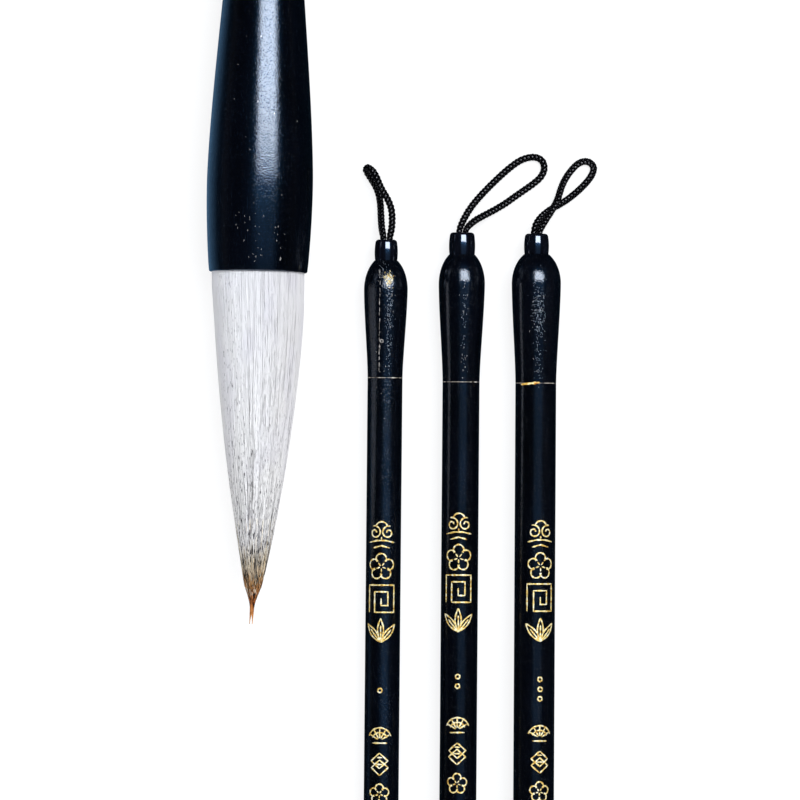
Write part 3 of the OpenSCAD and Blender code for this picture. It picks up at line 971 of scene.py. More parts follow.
@dataclass
class Rule:
    """A geometry tree that makes one piece from a mesh of points or lines."""

    name: str
    material: Material
    values: Values = field(default_factory=dict)

    def wire(self, tree: Tree, entry: Node) -> Socket:
        """Adds the rule's own nodes. Each rule has its own.

        Args:
            tree: The geometry tree.
            entry: The group's input node.

        Returns:
            The geometry that it makes.
        """
        raise NotImplementedError

    def numbers(self, tree: Tree, entry: Node) -> dict[str, Formula]:
        """Returns the rule's own inputs, by name."""
        return {key: Formula(tree, entry.outputs[key]) for key in self.values}

    @staticmethod
    def stored(tree: Tree, geometry: Socket, name: str, value: Formula) -> Socket:
        """Stores a number at each point.

        Args:
            tree: The geometry tree.
            geometry: What gets the number.
            name: The number's name.
            value: The number.

        Returns:
            The geometry that carries it.
        """
        inputs: Inputs = {"Geometry": geometry, "Name": name, "Value": value}
        made = add_node(tree, "GeometryNodeStoreNamedAttribute", inputs, data_type="FLOAT", domain="POINT")
        return made.outputs[0]

    def apply(self, source: Mesh) -> Piece:
        """Runs the rule on a mesh.

        Args:
            source: The mesh that the rule reads.

        Returns:
            An object with the plain mesh that it makes.
        """
        tree = bpy.data.node_groups.new(self.name, "GeometryNodeTree")
        face = tree.interface
        face.new_socket("Geometry", in_out="INPUT", socket_type="NodeSocketGeometry")
        sockets = {"Material": face.new_socket("Material", in_out="INPUT", socket_type="NodeSocketMaterial")}
        for key, value in self.values.items():
            kind = "NodeSocketInt" if isinstance(value, int) else "NodeSocketFloat"
            sockets[key] = face.new_socket(key, in_out="INPUT", socket_type=kind)
        face.new_socket("Geometry", in_out="OUTPUT", socket_type="NodeSocketGeometry")
        entry = add_node(tree, "NodeGroupInput")
        real = add_node(tree, "GeometryNodeRealizeInstances", {0: self.wire(tree, entry)})
        inputs: Inputs = {"Geometry": real.outputs[0], "Material": entry.outputs["Material"]}
        dressed = add_node(tree, "GeometryNodeSetMaterial", inputs)
        add_node(tree, "NodeGroupOutput", {0: dressed.outputs[0]})
        piece = plain_object(self.name, source)
        modifier = piece.modifiers.new(self.name, "NODES")
        modifier.node_group = tree
        modifier[sockets["Material"].identifier] = self.material
        for key, value in self.values.items():
            modifier[sockets[key].identifier] = value
        graph = bpy.context.evaluated_depsgraph_get()
        mesh = bpy.data.meshes.new_from_object(
            piece.evaluated_get(graph), preserve_all_data_layers=True, depsgraph=graph
        )
        mesh.name = self.name
        piece.modifiers.remove(modifier)
        piece.data = mesh
        mesh.shade_smooth()
        return piece


class HairCoat(Rule):
    """Hairs that stand round a tuft's axis, follow its outline and gather into locks towards its tip.

    Only the first point of the source mesh is there, and it is not used. The hairs run towards -Y.
    """

    @staticmethod
    def chance(seed: Formula, offset: float, low: float = 0.0, high: float = 1.0) -> Formula:
        """Adds a random number that each hair has of its own.

        Args:
            seed: The coat's seed.
            offset: What sets this number apart from the coat's others.
            low: The lowest that it can be.
            high: The highest that it can be.

        Returns:
            The number.
        """
        inputs: Inputs = {2: low, 3: high, "Seed": seed + offset}
        made = add_node(seed.tree, "FunctionNodeRandomValue", inputs, data_type="FLOAT")
        return Formula(seed.tree, made.outputs[1])

    @staticmethod
    def kept(tree: Tree, name: str) -> Formula:
        """Returns a number that was stored for each hair."""
        made = add_node(tree, "GeometryNodeInputNamedAttribute", {"Name": name}, data_type="FLOAT")
        return Formula(tree, made.outputs[0])

    def plant(self, tree: Tree, entry: Node) -> Socket:
        """Adds the hairs as straight lines that all lie on the axis, with what sets each apart.

        Args:
            tree: The geometry tree.
            entry: The group's input node.

        Returns:
            The lines.
        """
        value = self.numbers(tree, entry)
        seed, outer, shortest = value["Seed"], value["Outer share"], value["Shortest"]
        points = add_node(tree, "GeometryNodePoints", {"Count": entry.outputs["Count"]}).outputs[0]
        turn = Formula(tree, add_node(tree, "GeometryNodeInputIndex").outputs[0]) * GOLDEN_ANGLE
        turn = (turn + self.chance(seed, 1.0, -0.2, 0.2)).op("WRAP", math.pi, -math.pi)
        lock = turn * value["Locks"] / TURN + self.chance(seed, 2.0, -0.3, 0.3)
        # Painted shade: the hairs at the tuft's sides, where it turns away from the light, are drawn greyer.
        grey = turn.op("SINE").op("ABSOLUTE") * 0.45 + 1.0
        own = {
            "turn": turn,
            "lock": lock.op("ROUND") * TURN / value["Locks"],
            "depth": outer - (outer - value["Inner share"]) * (self.chance(seed, 3.0) ** 1.8),
            "reach": shortest + (value["Longest"] - shortest) * (self.chance(seed, 4.0) ** 0.6),
            "phase": self.chance(seed, 5.0, 0.0, TURN),
            "shade": self.chance(seed, 6.0) ** grey,
            "flare": self.chance(seed, 7.0, -0.5, 1.0),
        }
        for name, number in own.items():
            points = self.stored(tree, points, name, number)
        line = add_node(tree, "GeometryNodeCurvePrimitiveLine", {"Start": (0, 0, 0), "End": (0, -1, 0)})
        inputs: Inputs = {"Curve": line.outputs[0], "Count": entry.outputs["Steps"]}
        hair = add_node(tree, "GeometryNodeResampleCurve", inputs).outputs[0]
        copies = add_node(tree, "GeometryNodeInstanceOnPoints", {"Points": points, "Instance": hair})
        return add_node(tree, "GeometryNodeRealizeInstances", {0: copies.outputs[0]}).outputs[0]

    def wire(self, tree: Tree, entry: Node) -> Socket:
        """Adds the hairs, with the attributes shade, along, end and side.

        Args:
            tree: The geometry tree.
            entry: The group's input node.

        Returns:
            The hairs, as a mesh.
        """
        value = self.numbers(tree, entry)
        hairs = self.plant(tree, entry)
        turn, depth = self.kept(tree, "turn"), self.kept(tree, "depth")
        share = Formula(tree, add_node(tree, "GeometryNodeSplineParameter").outputs["Factor"])
        y = value["Inset"] - (value["Inset"] + value["Length"] * self.kept(tree, "reach")) * share
        along = (y / value["Length"] * -1.0).op("MAXIMUM", 0.0)
        envelope = ((along**TUFT_POWER) * -1.0 + 1.0).op("MAXIMUM", 0.0)
        # The tip is drawn out thinner than the rest.
        envelope = envelope * along.between(0.885, 0.955, 1.0, 0.42)
        envelope = (envelope + 0.012).op("MAXIMUM", value["Tip thickness"])
        gather = (along**1.5) * value["Gather"]
        sway = (along * 9.0 + self.kept(tree, "phase")).op("SINE") * (along * value["Sway"])
        angle = turn + (self.kept(tree, "lock") - turn) * gather + sway
        flare = self.kept(tree, "flare") * (share**3.0) * value["Flare"]
        # Near the mouth, the hairs lie packed in one smooth layer.
        depth = depth + (value["Outer share"] - depth) * along.between(0.1, 0.55, 0.8, 0.0)
        radius = value["Mouth radius"] * depth * envelope + flare
        bow = (((along * 2.0 - 1.0) ** 4.0) * -1.0 + 1.0) * value["Bow"] * along.between(0.0, 0.1)
        x = radius * angle.op("SINE")
        # The tip parts into two points.
        x = x + (turn.op("SIGN") * value["Split"] - x) * along.between(0.968, 0.99, 0.0, 0.75) + bow
        ring = add_node(tree, "ShaderNodeCombineXYZ", {0: x, 1: y, 2: radius * angle.op("COSINE")})
        inputs: Inputs = {"Geometry": hairs, "Position": ring.outputs[0]}
        marked = add_node(tree, "GeometryNodeSetPosition", inputs).outputs[0]
        for name, number in {"along": along, "end": share, "side": turn.op("SINE")}.items():
            marked = self.stored(tree, marked, name, number)
        # Three sides are enough for a hair that is thinner than a pixel.
        inputs = {"Resolution": 3, "Radius": entry.outputs["Hair radius"]}
        section = add_node(tree, "GeometryNodeCurvePrimitiveCircle", inputs)
        taper = (share**5.0) * -0.6 + 1.0
        inputs = {"Curve": marked, "Profile Curve": section.outputs[0], "Scale": taper, "Fill Caps": True}
        return add_node(tree, "GeometryNodeCurveToMesh", inputs).outputs[0]


class BraidedCord(Rule):
    """Strands that wind both ways round a line and pass over and under each other.

    The source mesh is one line of joined points, in metres.
    """

    def wire(self, tree: Tree, entry: Node) -> Socket:
        """Adds the strands, with the attribute over.

        Args:
            tree: The geometry tree.
            entry: The group's input node.

        Returns:
            The strands, as a mesh.
        """
        value = self.numbers(tree, entry)
        line = add_node(tree, "GeometryNodeMeshToCurve", {"Mesh": entry.outputs["Geometry"]}).outputs[0]
        inputs: Inputs = {"Geometry": line, "Amount": value["Lanes"] * 2.0}
        copies = add_node(tree, "GeometryNodeDuplicateElements", inputs, domain="SPLINE")
        index = Formula(tree, copies.outputs["Duplicate Index"])
        way = index.op("MODULO", 2.0) * -2.0 + 1.0
        spline = add_node(tree, "GeometryNodeSplineParameter").outputs
        run, share = Formula(tree, spline["Length"]), Formula(tree, spline["Factor"])
        # The bore squeezes both ends.
        squeeze = share.op("MINIMUM", share * -1.0 + 1.0).between(0.03, 0.08, 0.78, 1.0)
        angle = run / value["Pitch"] * TURN * way + (index / 2.0).op("FLOOR") / value["Lanes"] * TURN
        over = (angle * value["Lanes"]).op("COSINE") * way
        radius = value["Braid radius"] * squeeze + over * value["Weave"]
        normal = add_node(tree, "GeometryNodeInputNormal").outputs[0]
        tangent = add_node(tree, "GeometryNodeInputTangent").outputs[0]
        inputs = {0: tangent, 1: normal}
        side = add_node(tree, "ShaderNodeVectorMath", inputs, operation="CROSS_PRODUCT").outputs[0]
        parts: Inputs = {}
        for k, (way_out, reach) in enumerate(((normal, angle.op("COSINE")), (side, angle.op("SINE")))):
            inputs = {0: way_out, "Scale": radius * reach}
            parts[k] = add_node(tree, "ShaderNodeVectorMath", inputs, operation="SCALE").outputs[0]
        offset = add_node(tree, "ShaderNodeVectorMath", parts, operation="ADD").outputs[0]
        # The strands that wind one way are the glossier ones, and carry more of the braid's painted
        # highlight.
        marked = self.stored(tree, copies.outputs[0], "over", over * 0.5 + 0.42 + way * 0.08)
        wound = add_node(tree, "GeometryNodeSetPosition", {"Geometry": marked, "Offset": offset}).outputs[0]
        inputs = {"Resolution": 6, "Radius": entry.outputs["Strand radius"]}
        section = add_node(tree, "GeometryNodeCurvePrimitiveCircle", inputs).outputs[0]
        inputs = {"Curve": wound, "Profile Curve": section, "Fill Caps": True}
        return add_node(tree, "GeometryNodeCurveToMesh", inputs).outputs[0]


# The pieces of a brush


@dataclass
class Tuft:
    """A brush's hair: a bundle, a coat of white hairs round it, and the stiff brown hairs of its tip.

    The hairs are fewer and thicker than real ones, so that each shows. Its sizes are in millimetres.
    """

    mouth_radius: float
    length: float
    white_count: int
    brown_count: int
    hair_radius: float
    locks: int
    seed: int
    bow: float = 0.0
    inset: float = 1.6
    bundle_share: float = 0.965
    bundle_reach: float = 0.9
    bend_share: float = 0.35
    white_steps: int = 13
    brown_steps: int = 25
    bundle_rings: int = 48
    bundle_sides: int = 144

    def coat(self, name: str, material: Material, **values: float | int) -> Piece:
        """Makes one coat of hairs.

        Args:
            name: The piece's name.
            material: Its material.
            values: The rule's inputs that differ from coat to coat.

        Returns:
            The piece.
        """
        shared: Values = {
            "Mouth radius": self.mouth_radius - self.hair_radius,
            "Length": self.length,
            "Inset": self.inset,
            "Hair radius": self.hair_radius,
            "Steps": self.white_steps,
            "Locks": float(self.locks),
            "Gather": 0.7,
            "Sway": 0.12,
            "Flare": 0.012 * self.mouth_radius,
            "Split": 0.032 * self.mouth_radius,
            "Tip thickness": 0.043,
            "Bow": self.bow,
            "Seed": self.seed,
        }
        return HairCoat(name, material, shared | values).apply(mesh_of(name, [(0, 0, 0)]))

    def bundle(self, name: str, material: Material) -> Piece:
        """Makes the mass of hair under the coat, ridged along its length.

        Args:
            name: The piece's name.
            material: Its material.

        Returns:
            The piece.
        """
        rings, sides = self.bundle_rings, self.bundle_sides
        points, carried = [], {"along": [], "shade": [], "end": []}
        for r in range(rings):
            y = self.inset - (self.inset + self.length * self.bundle_reach) * r / (rings - 1)
            along = max(0.0, -y / self.length)
            bow = self.bow * (1 - (2 * along - 1) ** 4) * min(1.0, along * 10)
            for s in range(sides):
                angle = TURN * s / sides
                # The noise runs along the hair, in fine ridges over broad ones.
                where = Vector((6 * math.cos(angle), 6 * math.sin(angle), along * 1.5 + self.seed))
                fine = noise.noise(where * 2.2)
                broad = noise.noise(where * 0.7 + Vector((0, 0, 7)))
                ridge = 1 + 0.02 * fine + (0.02 + 0.1 * along) * broad
                radius = self.mouth_radius * self.bundle_share * (1 - along**TUFT_POWER) * ridge
                points.append((radius * math.sin(angle) + bow, y, -radius * math.cos(angle)))
                carried["along"].append(along)
                # The bundle's tone follows its ridges and is darker in the grooves: painted shade between the
                # hairs.
                carried["shade"].append(min(1.0, max(0.0, 0.4 + 0.5 * fine + 0.3 * broad)))
                carried["end"].append(0.0)
        return plain_object(name, mesh_of(name, points, (), tube_faces(rings, sides), carried), material)


@dataclass
class Cord:
    """A limp braided cord, doubled into a loop. Its sizes are in metres, and its route is in millimetres."""

    exit: Vector
    route_mm: Route
    diameter: float = 1.4 * MM
    spread: float = 1.8 * MM
    lanes: int = 4
    pitch: float = 3.8 * MM
    strand_radius: float = 0.29 * MM
    weave: float = 0.09 * MM
    step: float = 0.12 * MM
    inside: float = 1.1 * MM
    bends_from: float = 0.4 * MM
    bends_to: float = 4 * MM

    @property
    def line(self) -> list[Vector]:
        """Follows the cord's middle, from inside the bore round to inside the bore again.

        Returns:
            Its points, in the set's frame.
        """
        points = [self.exit + Vector(p) * MM for p in self.route_mm]
        # The cord lies on the table.
        points = [Vector((p.x, p.y, max(p.z, self.spread / 2))) for p in points]
        first = points[0] + (points[0] - points[1]).normalized() * self.inside
        last = points[-1] + (points[-1] - points[-2]).normalized() * self.inside
        return smooth_line([first, *points, last], self.step)

    def build(self, name: str, material: Material) -> Piece:
        """Makes the cord.

        Args:
            name: The piece's name.
            material: Its material.

        Returns:
            The piece.
        """
        line = self.line
        values: Values = {
            "Lanes": float(self.lanes),
            "Pitch": self.pitch,
            "Braid radius": self.spread / 2 - self.strand_radius - self.weave,
            "Weave": self.weave,
            "Strand radius": self.strand_radius,
        }
        edges = [(i, i + 1) for i in range(len(line) - 1)]
        return BraidedCord(name, material, values).apply(mesh_of(name, line, edges))


class Strokes:
    """The lines of each motif, in a square from -1 to 1 whose second number runs up the handle."""

    ARC_STEP_DEG = 14

    @staticmethod
    def arc(x: float, y: float, radius: float, start: float, end: float, grow: float = 0.0) -> Stroke:
        """Draws an arc or a spiral.

        Args:
            x: Its middle's first number.
            y: Its middle's second number.
            radius: Its radius at the start.
            start: Its first angle, in degrees.
            end: Its last angle.
            grow: How much its radius grows from the start to the end.

        Returns:
            The stroke.
        """
        count = max(6, round(abs(end - start) / Strokes.ARC_STEP_DEG))
        angles = [math.radians(start + (end - start) * k / count) for k in range(count + 1)]
        radii = [radius + grow * k / count for k in range(count + 1)]
        return [(x + r * math.cos(a), y + r * math.sin(a)) for a, r in zip(angles, radii)]

    @classmethod
    def cloud(cls) -> list[Stroke]:
        """Draws a pair of curls under a crest, over two waves.

        Returns:
            The strokes.
        """
        curls = [cls.arc(-0.48, 0.2, 0.1, 0, 470, 0.38), cls.arc(0.48, 0.2, 0.1, 180, -290, 0.38)]
        upper = [(-0.95, -0.5), (-0.3, -0.36), (0.3, -0.36), (0.95, -0.5)]
        lower = [(-0.6, -0.88), (0, -0.72), (0.6, -0.88)]
        return [*curls, cls.arc(0, 0.55, 0.42, 10, 170), upper, lower, [(0, -0.1), (0, -0.3)]]

    @classmethod
    def fret(cls) -> list[Stroke]:
        """Draws a square spiral in a frame.

        Returns:
            Its one stroke.
        """
        x = (0.95, 0.48)
        spiral = [(-x[0], -x[0]), (-x[0], x[0]), (x[0], x[0]), (x[0], -x[0]), (-x[1], -x[0])]
        return [spiral + [(-x[1], x[1]), (x[1], x[1]), (x[1], -x[1]), (0, -x[1]), (0, 0.05)]]

    @classmethod
    def blossom(cls) -> list[Stroke]:
        """Draws five petals with their stamens.

        Returns:
            The strokes.
        """
        strokes = []
        for k in range(5):
            a, b = math.radians(90 + 72 * k), math.radians(54 + 72 * k)
            petal = (90 + 72 * k - 125, 90 + 72 * k + 125)
            strokes.append(cls.arc(0.56 * math.cos(a), 0.56 * math.sin(a), 0.37, *petal))
            strokes.append([(r * math.cos(b), r * math.sin(b)) for r in (0.1, 0.36)])
        return strokes

    @classmethod
    def twin_lozenge(cls) -> list[Stroke]:
        """Returns two lozenges that overlap."""
        upper = [(0, 1), (0.8, 0.3), (0, -0.4), (-0.8, 0.3), (0, 1)]
        return [upper, [(x, -y) for x, y in upper], [(-0.3, 0), (0.3, 0)], [(-0.25, 0.62), (0.25, 0.62)]]

    @classmethod
    def leaves(cls) -> list[Stroke]:
        """Draws three long leaves that spread from one root.

        Returns:
            The strokes.
        """
        strokes = []
        for turn in (-40, 0, 40):
            c, s = math.cos(math.radians(turn)), math.sin(math.radians(turn))
            for side in (-0.22, 0.22, 0.0):
                long = 1 if side else 0.7
                stroke = [(side * math.sin(math.pi * k / 6), 1.65 * k / 6 * long) for k in range(7)]
                strokes.append([(x * c - y * s, x * s + y * c - 0.85) for x, y in stroke])
        return strokes

    @classmethod
    def shell(cls) -> list[Stroke]:
        """Draws a fan of ribs under its rim, on a foot.

        Returns:
            The strokes.
        """
        rims = [cls.arc(0, -0.55, radius, 20, 160) for radius in (1.15, 0.72)]
        ribs = [
            [(r * math.cos(a), r * math.sin(a) - 0.55) for r in (0.2, 1.1)]
            for a in (math.radians(d) for d in (30, 60, 90, 120, 150))
        ]
        return [*rims, *ribs, [(-0.7, -0.8), (0.7, -0.8)]]

    @classmethod
    def of(cls, motif: Motif) -> list[Stroke]:
        """Draws a motif.

        Args:
            motif: The motif.

        Returns:
            Its strokes.
        """
        drawn: dict[Motif, Callable[[], list[Stroke]]] = {
            Motif.CLOUD: cls.cloud, Motif.FRET: cls.fret, Motif.BLOSSOM: cls.blossom,
            Motif.TWIN_LOZENGE: cls.twin_lozenge, Motif.LEAVES: cls.leaves, Motif.SHELL: cls.shell,
        }
        return drawn[motif]() if motif in drawn else [cls.arc(0, 0, 0.22, 0, 360)]


@dataclass
class SurfaceLines:
    """Fine raised lines that follow a turned surface, each closed and sunk a little into it."""

    turning: Turning
    line_width: float
    height: float
    seed: int
    root: float = 0.05
    step: float = 0.5
    unevenness: float = 0.25

    def lines(self, rng: random.Random) -> list[Stroke]:
        """Returns the lines, as distances round the handle and places along it. Each kind has its own."""
        raise NotImplementedError

    def section(self, u: float, v: float, nu: float, nv: float, half: float) -> list[Point]:
        """Returns a line's cross-section at one point.

        Args:
            u: The point's distance round the handle.
            v: Its place along the handle.
            nu: The line's sideways direction, round the handle.
            nv: The same, along the handle.
            half: Half of the line's width there.

        Returns:
            Six points, each as a distance round, a place along and a height.
        """
        top, foot, shoulder, crown = self.height, -self.root, 0.2 * self.height, 0.55 * half
        right = ((half, foot), (half, shoulder), (crown, top))
        outline = (*right, (-crown, top), (-half, shoulder), (-half, foot))
        return [(u + nu * s, v + nv * s, h) for s, h in outline]

    def build(self, name: str, material: Material) -> Piece:
        """Makes all the lines as one piece.

        Args:
            name: The piece's name.
            material: Its material.

        Returns:
            The piece, in the brush's own frame.
        """
        rng = random.Random(self.seed)
        points: list[Point] = []
        faces: list[list[int]] = []
        for line in self.lines(rng):
            fine: Stroke = []
            for (u0, v0), (u1, v1) in zip(line, line[1:]):
                count = max(1, math.ceil(math.hypot(u1 - u0, v1 - v0) / self.step))
                fine += [(u0 + (u1 - u0) * k / count, v0 + (v1 - v0) * k / count) for k in range(count)]
            fine.append(line[-1])
            phase, last, base = rng.uniform(0, TURN), len(fine) - 1, len(points)
            for k, (u, v) in enumerate(fine):
                (ua, va), (ub, vb) = fine[max(0, k - 1)], fine[min(last, k + 1)]
                size = math.hypot(ub - ua, vb - va) or 1.0
                uneven = 1 + self.unevenness * math.sin(phase + 1.3 * k)
                half = self.line_width / 2 * uneven * (0.5 if k in (0, last) else 1.0)
                for round_, place, out in self.section(u, v, (va - vb) / size, (ub - ua) / size, half):
                    r = self.turning.radius(place)
                    angle = round_ / r
                    points.append(((r + out) * math.sin(angle), place, (r + out) * math.cos(angle)))
            faces += [[base + i for i in face[::-1]] for face in tube_faces(len(fine), 6)]
        return plain_object(name, mesh_of(name, points, (), faces), material)


@dataclass
class Inlay(SurfaceLines):
    """Ornaments cut down the length of a handle, and gilded."""

    turned_deg: float = 0.0
    marks: Sequence[Mark] = ()
    slip: float = 0.05

    def lines(self, rng: random.Random) -> list[Stroke]:
        """Draws every ornament, each stroke a little off its true place.

        Args:
            rng: What the small shifts are drawn from.

        Returns:
            The strokes, as distances round the handle and places along it.
        """
        middle = math.radians(self.turned_deg) * self.turning.shaft_d / 2
        made = []
        for y, motif, size in self.marks:
            for stroke in Strokes.of(motif):
                shift = rng.uniform(-1, 1) * self.slip
                made.append([(middle + shift + u * size / 2, y + v * size / 2 - shift) for u, v in stroke])
        return made


@dataclass
class Lint(SurfaceLines):
    """Dust, powder or painted glints in spots on the handle, and one long scratch that caught a fibre."""

    spots: Sequence[Spot] = ()
    hairline: Point | None = None
    longest: float = 0.4
    shortest: float = 0.12

    def lines(self, rng: random.Random) -> list[Stroke]:
        """Draws short strokes round each spot, and the long scratch.

        Args:
            rng: What the strokes' places and lengths are drawn from.

        Returns:
            The strokes, as distances round the handle and places along it.
        """
        made = []
        for round_, place, wide, long, count in self.spots:
            for _ in range(count):
                u, v = round_ + rng.gauss(0, wide), place + rng.gauss(0, long)
                length, lean = rng.uniform(self.shortest, self.longest), rng.gauss(0, 0.3)
                made.append([(u, v), (u + lean * length, v + length)])
        if self.hairline:
            round_, start, end = self.hairline
            place = start
            # The scratch is a row of dashes with gaps.
            while place < end:
                length = rng.uniform(0.4, 1.6)
                u = round_ + rng.gauss(0, 0.04)
                made.append([(u, place), (u + rng.gauss(0, 0.02), place + length)])
                place += length + rng.uniform(0.1, 0.7)
            curl = start + 0.3 * (end - start)
            made += [Strokes.arc(round_ + 0.5, curl, 0.45, a, a + 290, -0.2) for a in (-60, 10)]
        return made


@dataclass
class GlueLine:
    """The thin uneven line of glue that was squeezed out at a seam round the handle."""

    y: float
    radius: float
    seed: int
    from_deg: float = 0.0
    to_deg: float = 360.0
    rise: float = 0.0
    width: float = 0.07
    height: float = 0.025
    section: int = 8
    ring_steps: int = 160
    smear_steps: int = 40

    def build(self, name: str, material: Material) -> Piece:
        """Makes the line, whole or as a smear between two angles.

        Args:
            name: The piece's name.
            material: Its material.

        Returns:
            The piece, in the brush's own frame.
        """
        whole = self.to_deg - self.from_deg >= 360
        around = self.ring_steps if whole else self.smear_steps
        points = []
        for k in range(around):
            share = k / (around if whole else around - 1)
            angle = math.radians(self.from_deg + (self.to_deg - self.from_deg) * share)
            swell = 0.9 + 1.6 * noise.noise(Vector((7 * math.cos(angle), 7 * math.sin(angle), self.seed)))
            # A smear thins out at both ends.
            if not whole:
                swell = (0.6 + 0.4 * swell) * math.sin(math.pi * (0.04 + 0.92 * share)) ** 0.4
            for s in range(self.section):
                a = TURN * s / self.section
                r = self.radius + self.height * max(0.1, swell) * math.cos(a)
                y = self.y + self.rise * (share - 0.5) + self.width * max(0.1, swell) * math.sin(a)
                points.append((r * math.sin(angle), y, r * math.cos(angle)))
        faces = [face[::-1] for face in tube_faces(around, self.section, closed=whole)]
        return plain_object(name, mesh_of(name, points, (), faces), material)


@dataclass
class Brush:
    """One brush: its sizes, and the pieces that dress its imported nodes."""

    name: BrushName
    turning: Turning
    tuft: Tuft
    turned_deg: float
    marks: Sequence[Mark]
    spots: Sequence[Spot]
    painted_glint_spots: Sequence[Spot] = ()
    hairline: Point | None = None
    smear_deg: tuple[float, float] | None = None
    gloss: Gloss = Gloss.HANDLE
    powder: Sequence[Spot] = ()
    line_width: float = 0.34
    route_mm: Route = ()

    def node(self, part: str) -> str:
        """Returns the name of one of the brush's nodes, pieces, bodies or joints."""
        return f"{self.name.value}_{part}"

    def place(self, joints: Joints) -> Place:
        """Works out where the brush lies, from its packed joints and collar.

        Args:
            joints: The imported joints.

        Returns:
            The place.
        """
        bend = next(j for j in joints if j["name"] == self.node("tuft_bend"))
        mouth = Vector(bend["pos_m"])
        low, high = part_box(self.node("collar"))
        return Place(mouth, ((low + high) / 2 - mouth).normalized())

    def dress(self, frame: dict[str, Any], finishes: Finishes) -> None:
        """Makes the brush's pieces and says what each rides on.

        Args:
            finishes: The set's materials.
        """
        place = self.place(frame["joints"])
        lacquer = finishes.lacquers[self.gloss]
        turning = self.turning
        for part, outline, material, slot in (
            ("shaft", turning.shaft(), lacquer, "lacquer"),
            ("ferrule", turning.ferrule(), lacquer, "lacquer"),
            ("finial", turning.finial(), lacquer, "lacquer"),
            ("collar", turning.collar(), finishes.horn, "horn"),
        ):
            piece = turning.turn(self.node(f"turned_{part}"), outline, material)
            self.settle(piece, place)
            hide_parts(self.node(part))
        seed = self.tuft.seed
        inlay = Inlay(
            turning, self.line_width, GILT_HEIGHT, seed, turned_deg=self.turned_deg, marks=self.marks
        )
        self.settle(inlay.build(self.node("gilt_ornaments"), finishes.gilt), place)
        glue = GlueLine(turning.seam, turning.shaft_d / 2, seed)
        self.settle(glue.build(self.node("glue_line"), finishes.glue), place)
        lint = Lint(turning, *DUST_LINES, seed, spots=self.spots, hairline=self.hairline)
        self.settle(lint.build(self.node("settled_dust"), finishes.dust), place)
        # Painted glints: pale specks strewn down the lit streak of a finial.
        if self.painted_glint_spots:
            fine = Lint(turning, *PAINTED_GLINT_LINES, seed + 2, spots=self.painted_glint_spots, longest=0.15)
            self.settle(fine.build(self.node("fine_scratches"), finishes.painted_glints), place)
        # Gold flecks laid on the small finial's highlight: gold powder, and partly a painted highlight that
        # tints it gold.
        if self.powder:
            powder = Lint(turning, *HIGHLIGHT_POWDER_LINES, seed + 1, spots=self.powder)
            self.settle(powder.build(self.node("gold_powder"), finishes.gilt), place)
        if self.smear_deg:
            low = turning.seam - 0.1
            smear = GlueLine(
                low, turning.shaft_d / 2, seed, *self.smear_deg, rise=0.45, width=0.3, height=0.06
            )
            self.settle(smear.build(self.node("glue_smear"), finishes.amber), place)
        self.dress_tuft(place, finishes)
        if self.route_mm:
            self.dress_cord(place, frame["joints"], finishes)

    def settle(self, piece: Piece, place: Place) -> None:
        """Moves a finished piece to its place on the handle, and says what it rides on.

        Args:
            piece: The piece, in the brush's own frame.
            place: Where the brush lies.
        """
        piece.data.transform(place.matrix)
        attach(piece, self.node("brush"))
        LOG.info("%s rides on %s", piece.name, self.node("brush"))

    def dress_tuft(self, place: Place, finishes: Finishes) -> None:
        """Makes the hair: its white coat, its brown tip and its bundle.

        Args:
            place: Where the brush lies.
            finishes: The set's materials.
        """
        tuft = self.tuft
        values: Values = {"Outer share": 1.0, "Inner share": 0.86, "Shortest": 0.6, "Longest": 0.93}
        values["Count"] = tuft.white_count
        white = tuft.coat(self.node("white_hair"), finishes.white, **values)
        # The brown hairs start inside the white ones and run on to the tip.
        values = {"Outer share": 1.0, "Inner share": 0.2, "Shortest": 0.9, "Longest": 1.0}
        values |= {"Count": tuft.brown_count, "Inset": -0.7 * tuft.length, "Flare": 0.0}
        values["Steps"] = tuft.brown_steps
        brown = tuft.coat(self.node("brown_hair"), finishes.brown, **values, Seed=tuft.seed + 40)
        bundle = tuft.bundle(self.node("hair_bundle"), finishes.white)
        for piece, slot, covered in (
            (white, "white_hair", "tuft_cover"),
            (brown, "brown_hair", "tuft_core"),
            (bundle, "white_hair", None),
        ):
            piece.data.transform(place.matrix)
            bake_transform(piece)
            if covered:
                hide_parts(self.node(covered))
            LOG.info("%s bends from %s to %s", piece.name, self.node("brush"), self.node("tuft"))

    def dress_cord(self, place: Place, joints: Joints, finishes: Finishes) -> None:
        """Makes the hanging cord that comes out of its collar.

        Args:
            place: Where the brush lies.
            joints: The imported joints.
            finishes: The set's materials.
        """
        swing = next(j for j in joints if j["name"] == self.node("cord_swing"))
        out = Vector(swing["pos_m"])
        cord = Cord(out, self.route_mm)
        piece = cord.build(self.node("braided_cord"), finishes.cord)
        ends = {"start": out - cord.bends_from * place.along, "end": out + cord.bends_to * place.along}
        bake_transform(piece)
        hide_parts(self.node("cord_loop"))
        line = cord.line
        length = sum((b - a).length for a, b in zip(line, line[1:]))
        LOG.info("%s leaves %s, %.0f mm long", piece.name, self.node("collar"), length / MM)


# The studio


